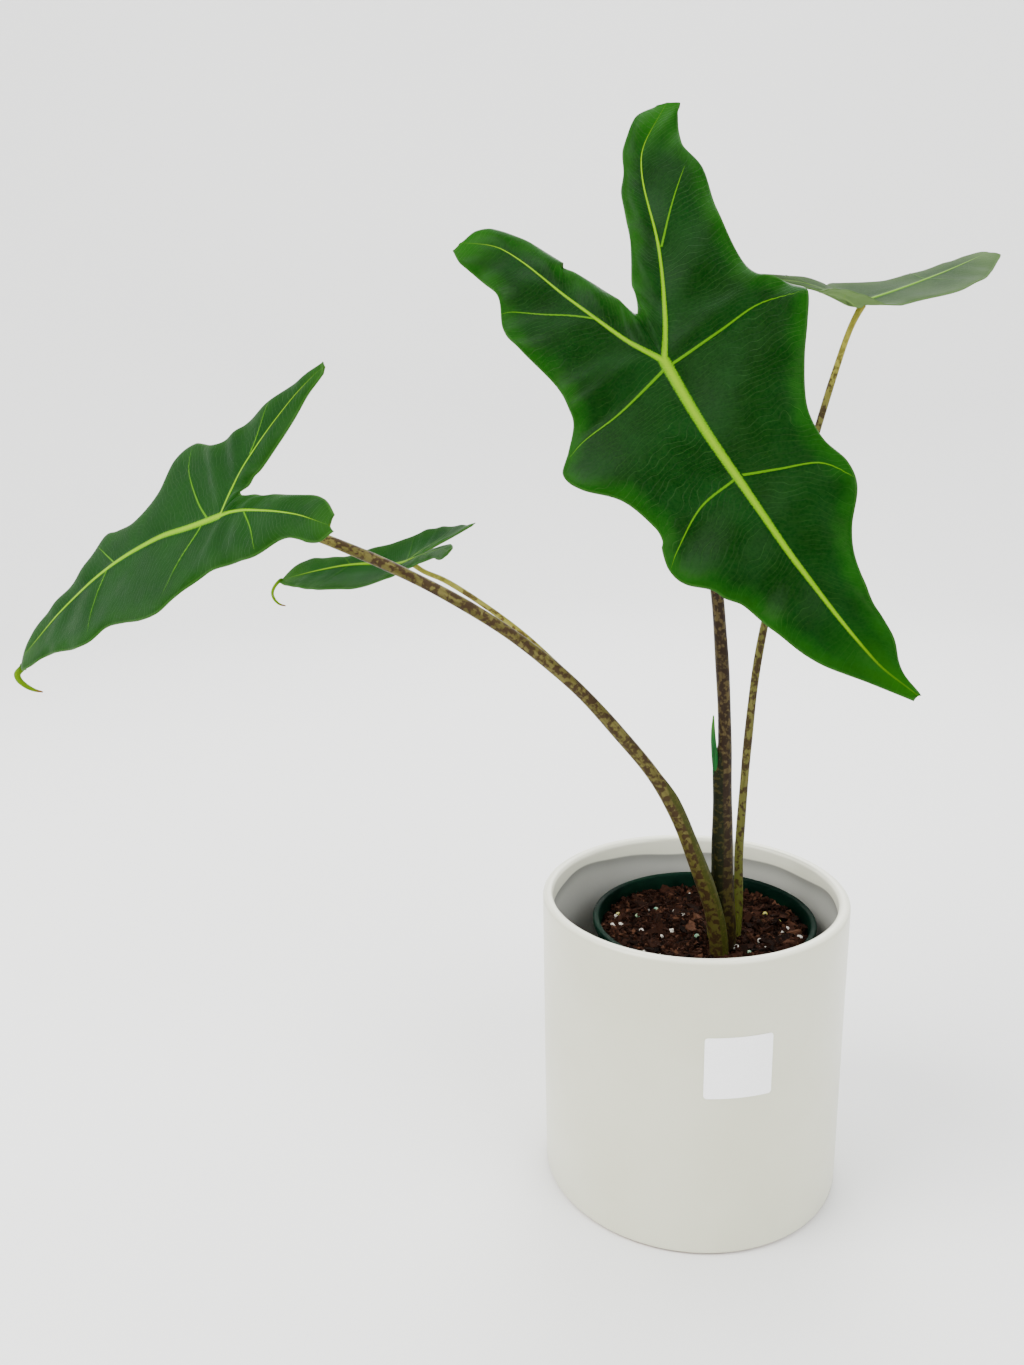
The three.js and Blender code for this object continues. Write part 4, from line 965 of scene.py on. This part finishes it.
def bark_material():
    begin("bark_chip")
    tint = stored("tint")
    fibre = noise(position(), (500, 500, 1500), 3)
    colour = mix(tint, rgb(10, 6, 4), rgb(50, 29, 20))
    colour = mix(step(tint, 0.86, 0.95), colour, rgb(76, 50, 36))
    colour = mix(step(fibre, 0.35, 0.75, 0, 0.55), colour, rgb(18, 8, 5))
    return finish(colour, 0.85, (fibre, 0.6, 0.0006), 0.03)


def perlite_material():
    begin("perlite")
    pores = noise(position(), 900, 3)
    colour = mix(step(pores, 0.3, 0.6), rgb(120, 112, 102), rgb(196, 192, 182))
    return finish(colour, 0.9, (pores, 0.7, 0.0005))


def pellet_material():
    begin("feed_pellet")
    kind = step(stored("tint"), 0.6, 0.62)
    cloud = step(noise(position(), 700, 2), 0.3, 0.8, 0, 0.35)
    colour = mix(kind, rgb(140, 134, 44), rgb(70, 122, 100))
    return finish(mix(cloud, colour, rgb(210, 205, 150)), 0.35)


def add_soil():
    add_soil_bed()
    box = np.array([[x, y, z] for z in (-1, 1) for y in (-1, 1) for x in (-1, 0, 1)], float)
    box[[1, 4, 7, 10], 1] *= 1.25
    chip = (box, [(0, 3, 4, 1), (1, 4, 5, 2), (6, 7, 10, 9), (7, 8, 11, 10), (0, 1, 7, 6),
        (1, 2, 8, 7), (2, 5, 11, 8), (5, 4, 10, 11), (4, 3, 9, 10), (3, 0, 6, 9)])
    bark = bark_material()
    sizes = spread(2300, (0.5, 1.7, 2), (0.4, 0.9, 2), (0.3, 0.5, 1))
    scatter("soil_crumbs", chip, 0.8, sizes, 0.6, 0.2, bark)
    sizes = spread(210, (2, 3.6, 2), (0.8, 1.4, 1), (0.5, 0.6, 1))
    scatter("soil_chips", chip, 3, sizes, 0.35, 0.16, bark)
    sizes = np.c_[spread(420, (2.5, 3.5, 1)), np.full((420, 2), 0.17)]
    scatter("soil_fibres", chip, 4, sizes, 0.25, 0.1, bark)
    sizes = np.repeat(spread(48, (0.4, 1.3, 2)), 3, 1)
    grain = turned(corner(0, 0, 1, -90, 90, 5), 7)
    scatter("soil_perlite", grain, 2, sizes, 1.0, 0.16, perlite_material())
    sizes = np.full((11, 3), 1.3)
    ball = turned(corner(0, 0, 1, -90, 90, 12), 18)
    scatter("soil_pellets", ball, 3, sizes, 1.0, 0.02, pellet_material(), smooth=True)


def add_rhizome():
    """The knobbly root crown that the stalks grow from, just under the soil."""
    points, faces = turned([
        (0, 86), (3, 86.4), (6.5, 88.5), (10, 92), (13, 96), (14.8, 100), (15.3, 103),
        (14.9, 107), (14.3, 110), (12.9, 111.7), (0, 112)], 48)
    turn, radial = polar(points)
    rings = 1 - 0.03 * np.abs(np.sin(points[:, 2] / 1.3)) - 0.04 * np.abs(np.sin(3.5 * turn))
    points[:, :2] *= np.where(radial > 1, rings, 1)[:, None]
    points[:, :2] += (12.5, -11.5)
    begin("rhizome_bark")
    scales = noise(position(), (90, 90, 420), 4)
    colour = mix(step(scales, 0.3, 0.7), rgb(74, 52, 34), rgb(128, 102, 66))
    add_piece("rhizome_crown", points, faces, finish(colour, 0.9, (scales, 0.7, 0.001)),
              "rhizome_skin", "rhizome")


# The studio: a pale floor that curves up all round

def add_studio():
    points, faces = turned([(0, 0), (1200, 0), (1700, 0),
                            *corner(1700, 900, 900, -90, 0, 24)[1:], (2600, 2400)], 96)
    bowl = new_object("studio_floor", points, [tuple(reversed(f)) for f in faces])
    begin("studio_pale")
    colour = mix(noise(position(), 1.5, 2), rgb(236, 236, 235), rgb(240, 240, 239))
    bowl.data.materials.append(finish(colour, 0.9))
    world = bpy.data.worlds.new("studio_light")
    world.use_nodes = True
    background = world.node_tree.nodes["Background"].inputs
    background["Color"].default_value = (0.95, 0.97, 1.0, 1)
    background["Strength"].default_value = 0.77
    bpy.context.scene.world = world
    add_light("key", (-1.25, -0.5, 1.7), (-0.05, 0, 0.25), 1.3, 62, (1, 0.99, 0.96))
    add_light("fill", (0.9, -1.2, 1.6), (0, 0, 0.25), 1.2, 28, (0.95, 0.97, 1))
    add_light("rear", (0.3, 1.4, 1.5), (0, 0, 0.3), 1.2, 26, (1, 1, 1))
    add_light("wall", (0, 0.5, 2.3), (0, 2.5, 0.7), 1.4, 46, (1, 1, 1))


add_camera()
add_studio()
add_outer_pot()
add_label()
add_nursery_pot()
add_soil()
add_rhizome()
for leaf in BLADES:
    add_stalk(leaf)
    add_blade(leaf)
add_tips()
add_new_leaf()
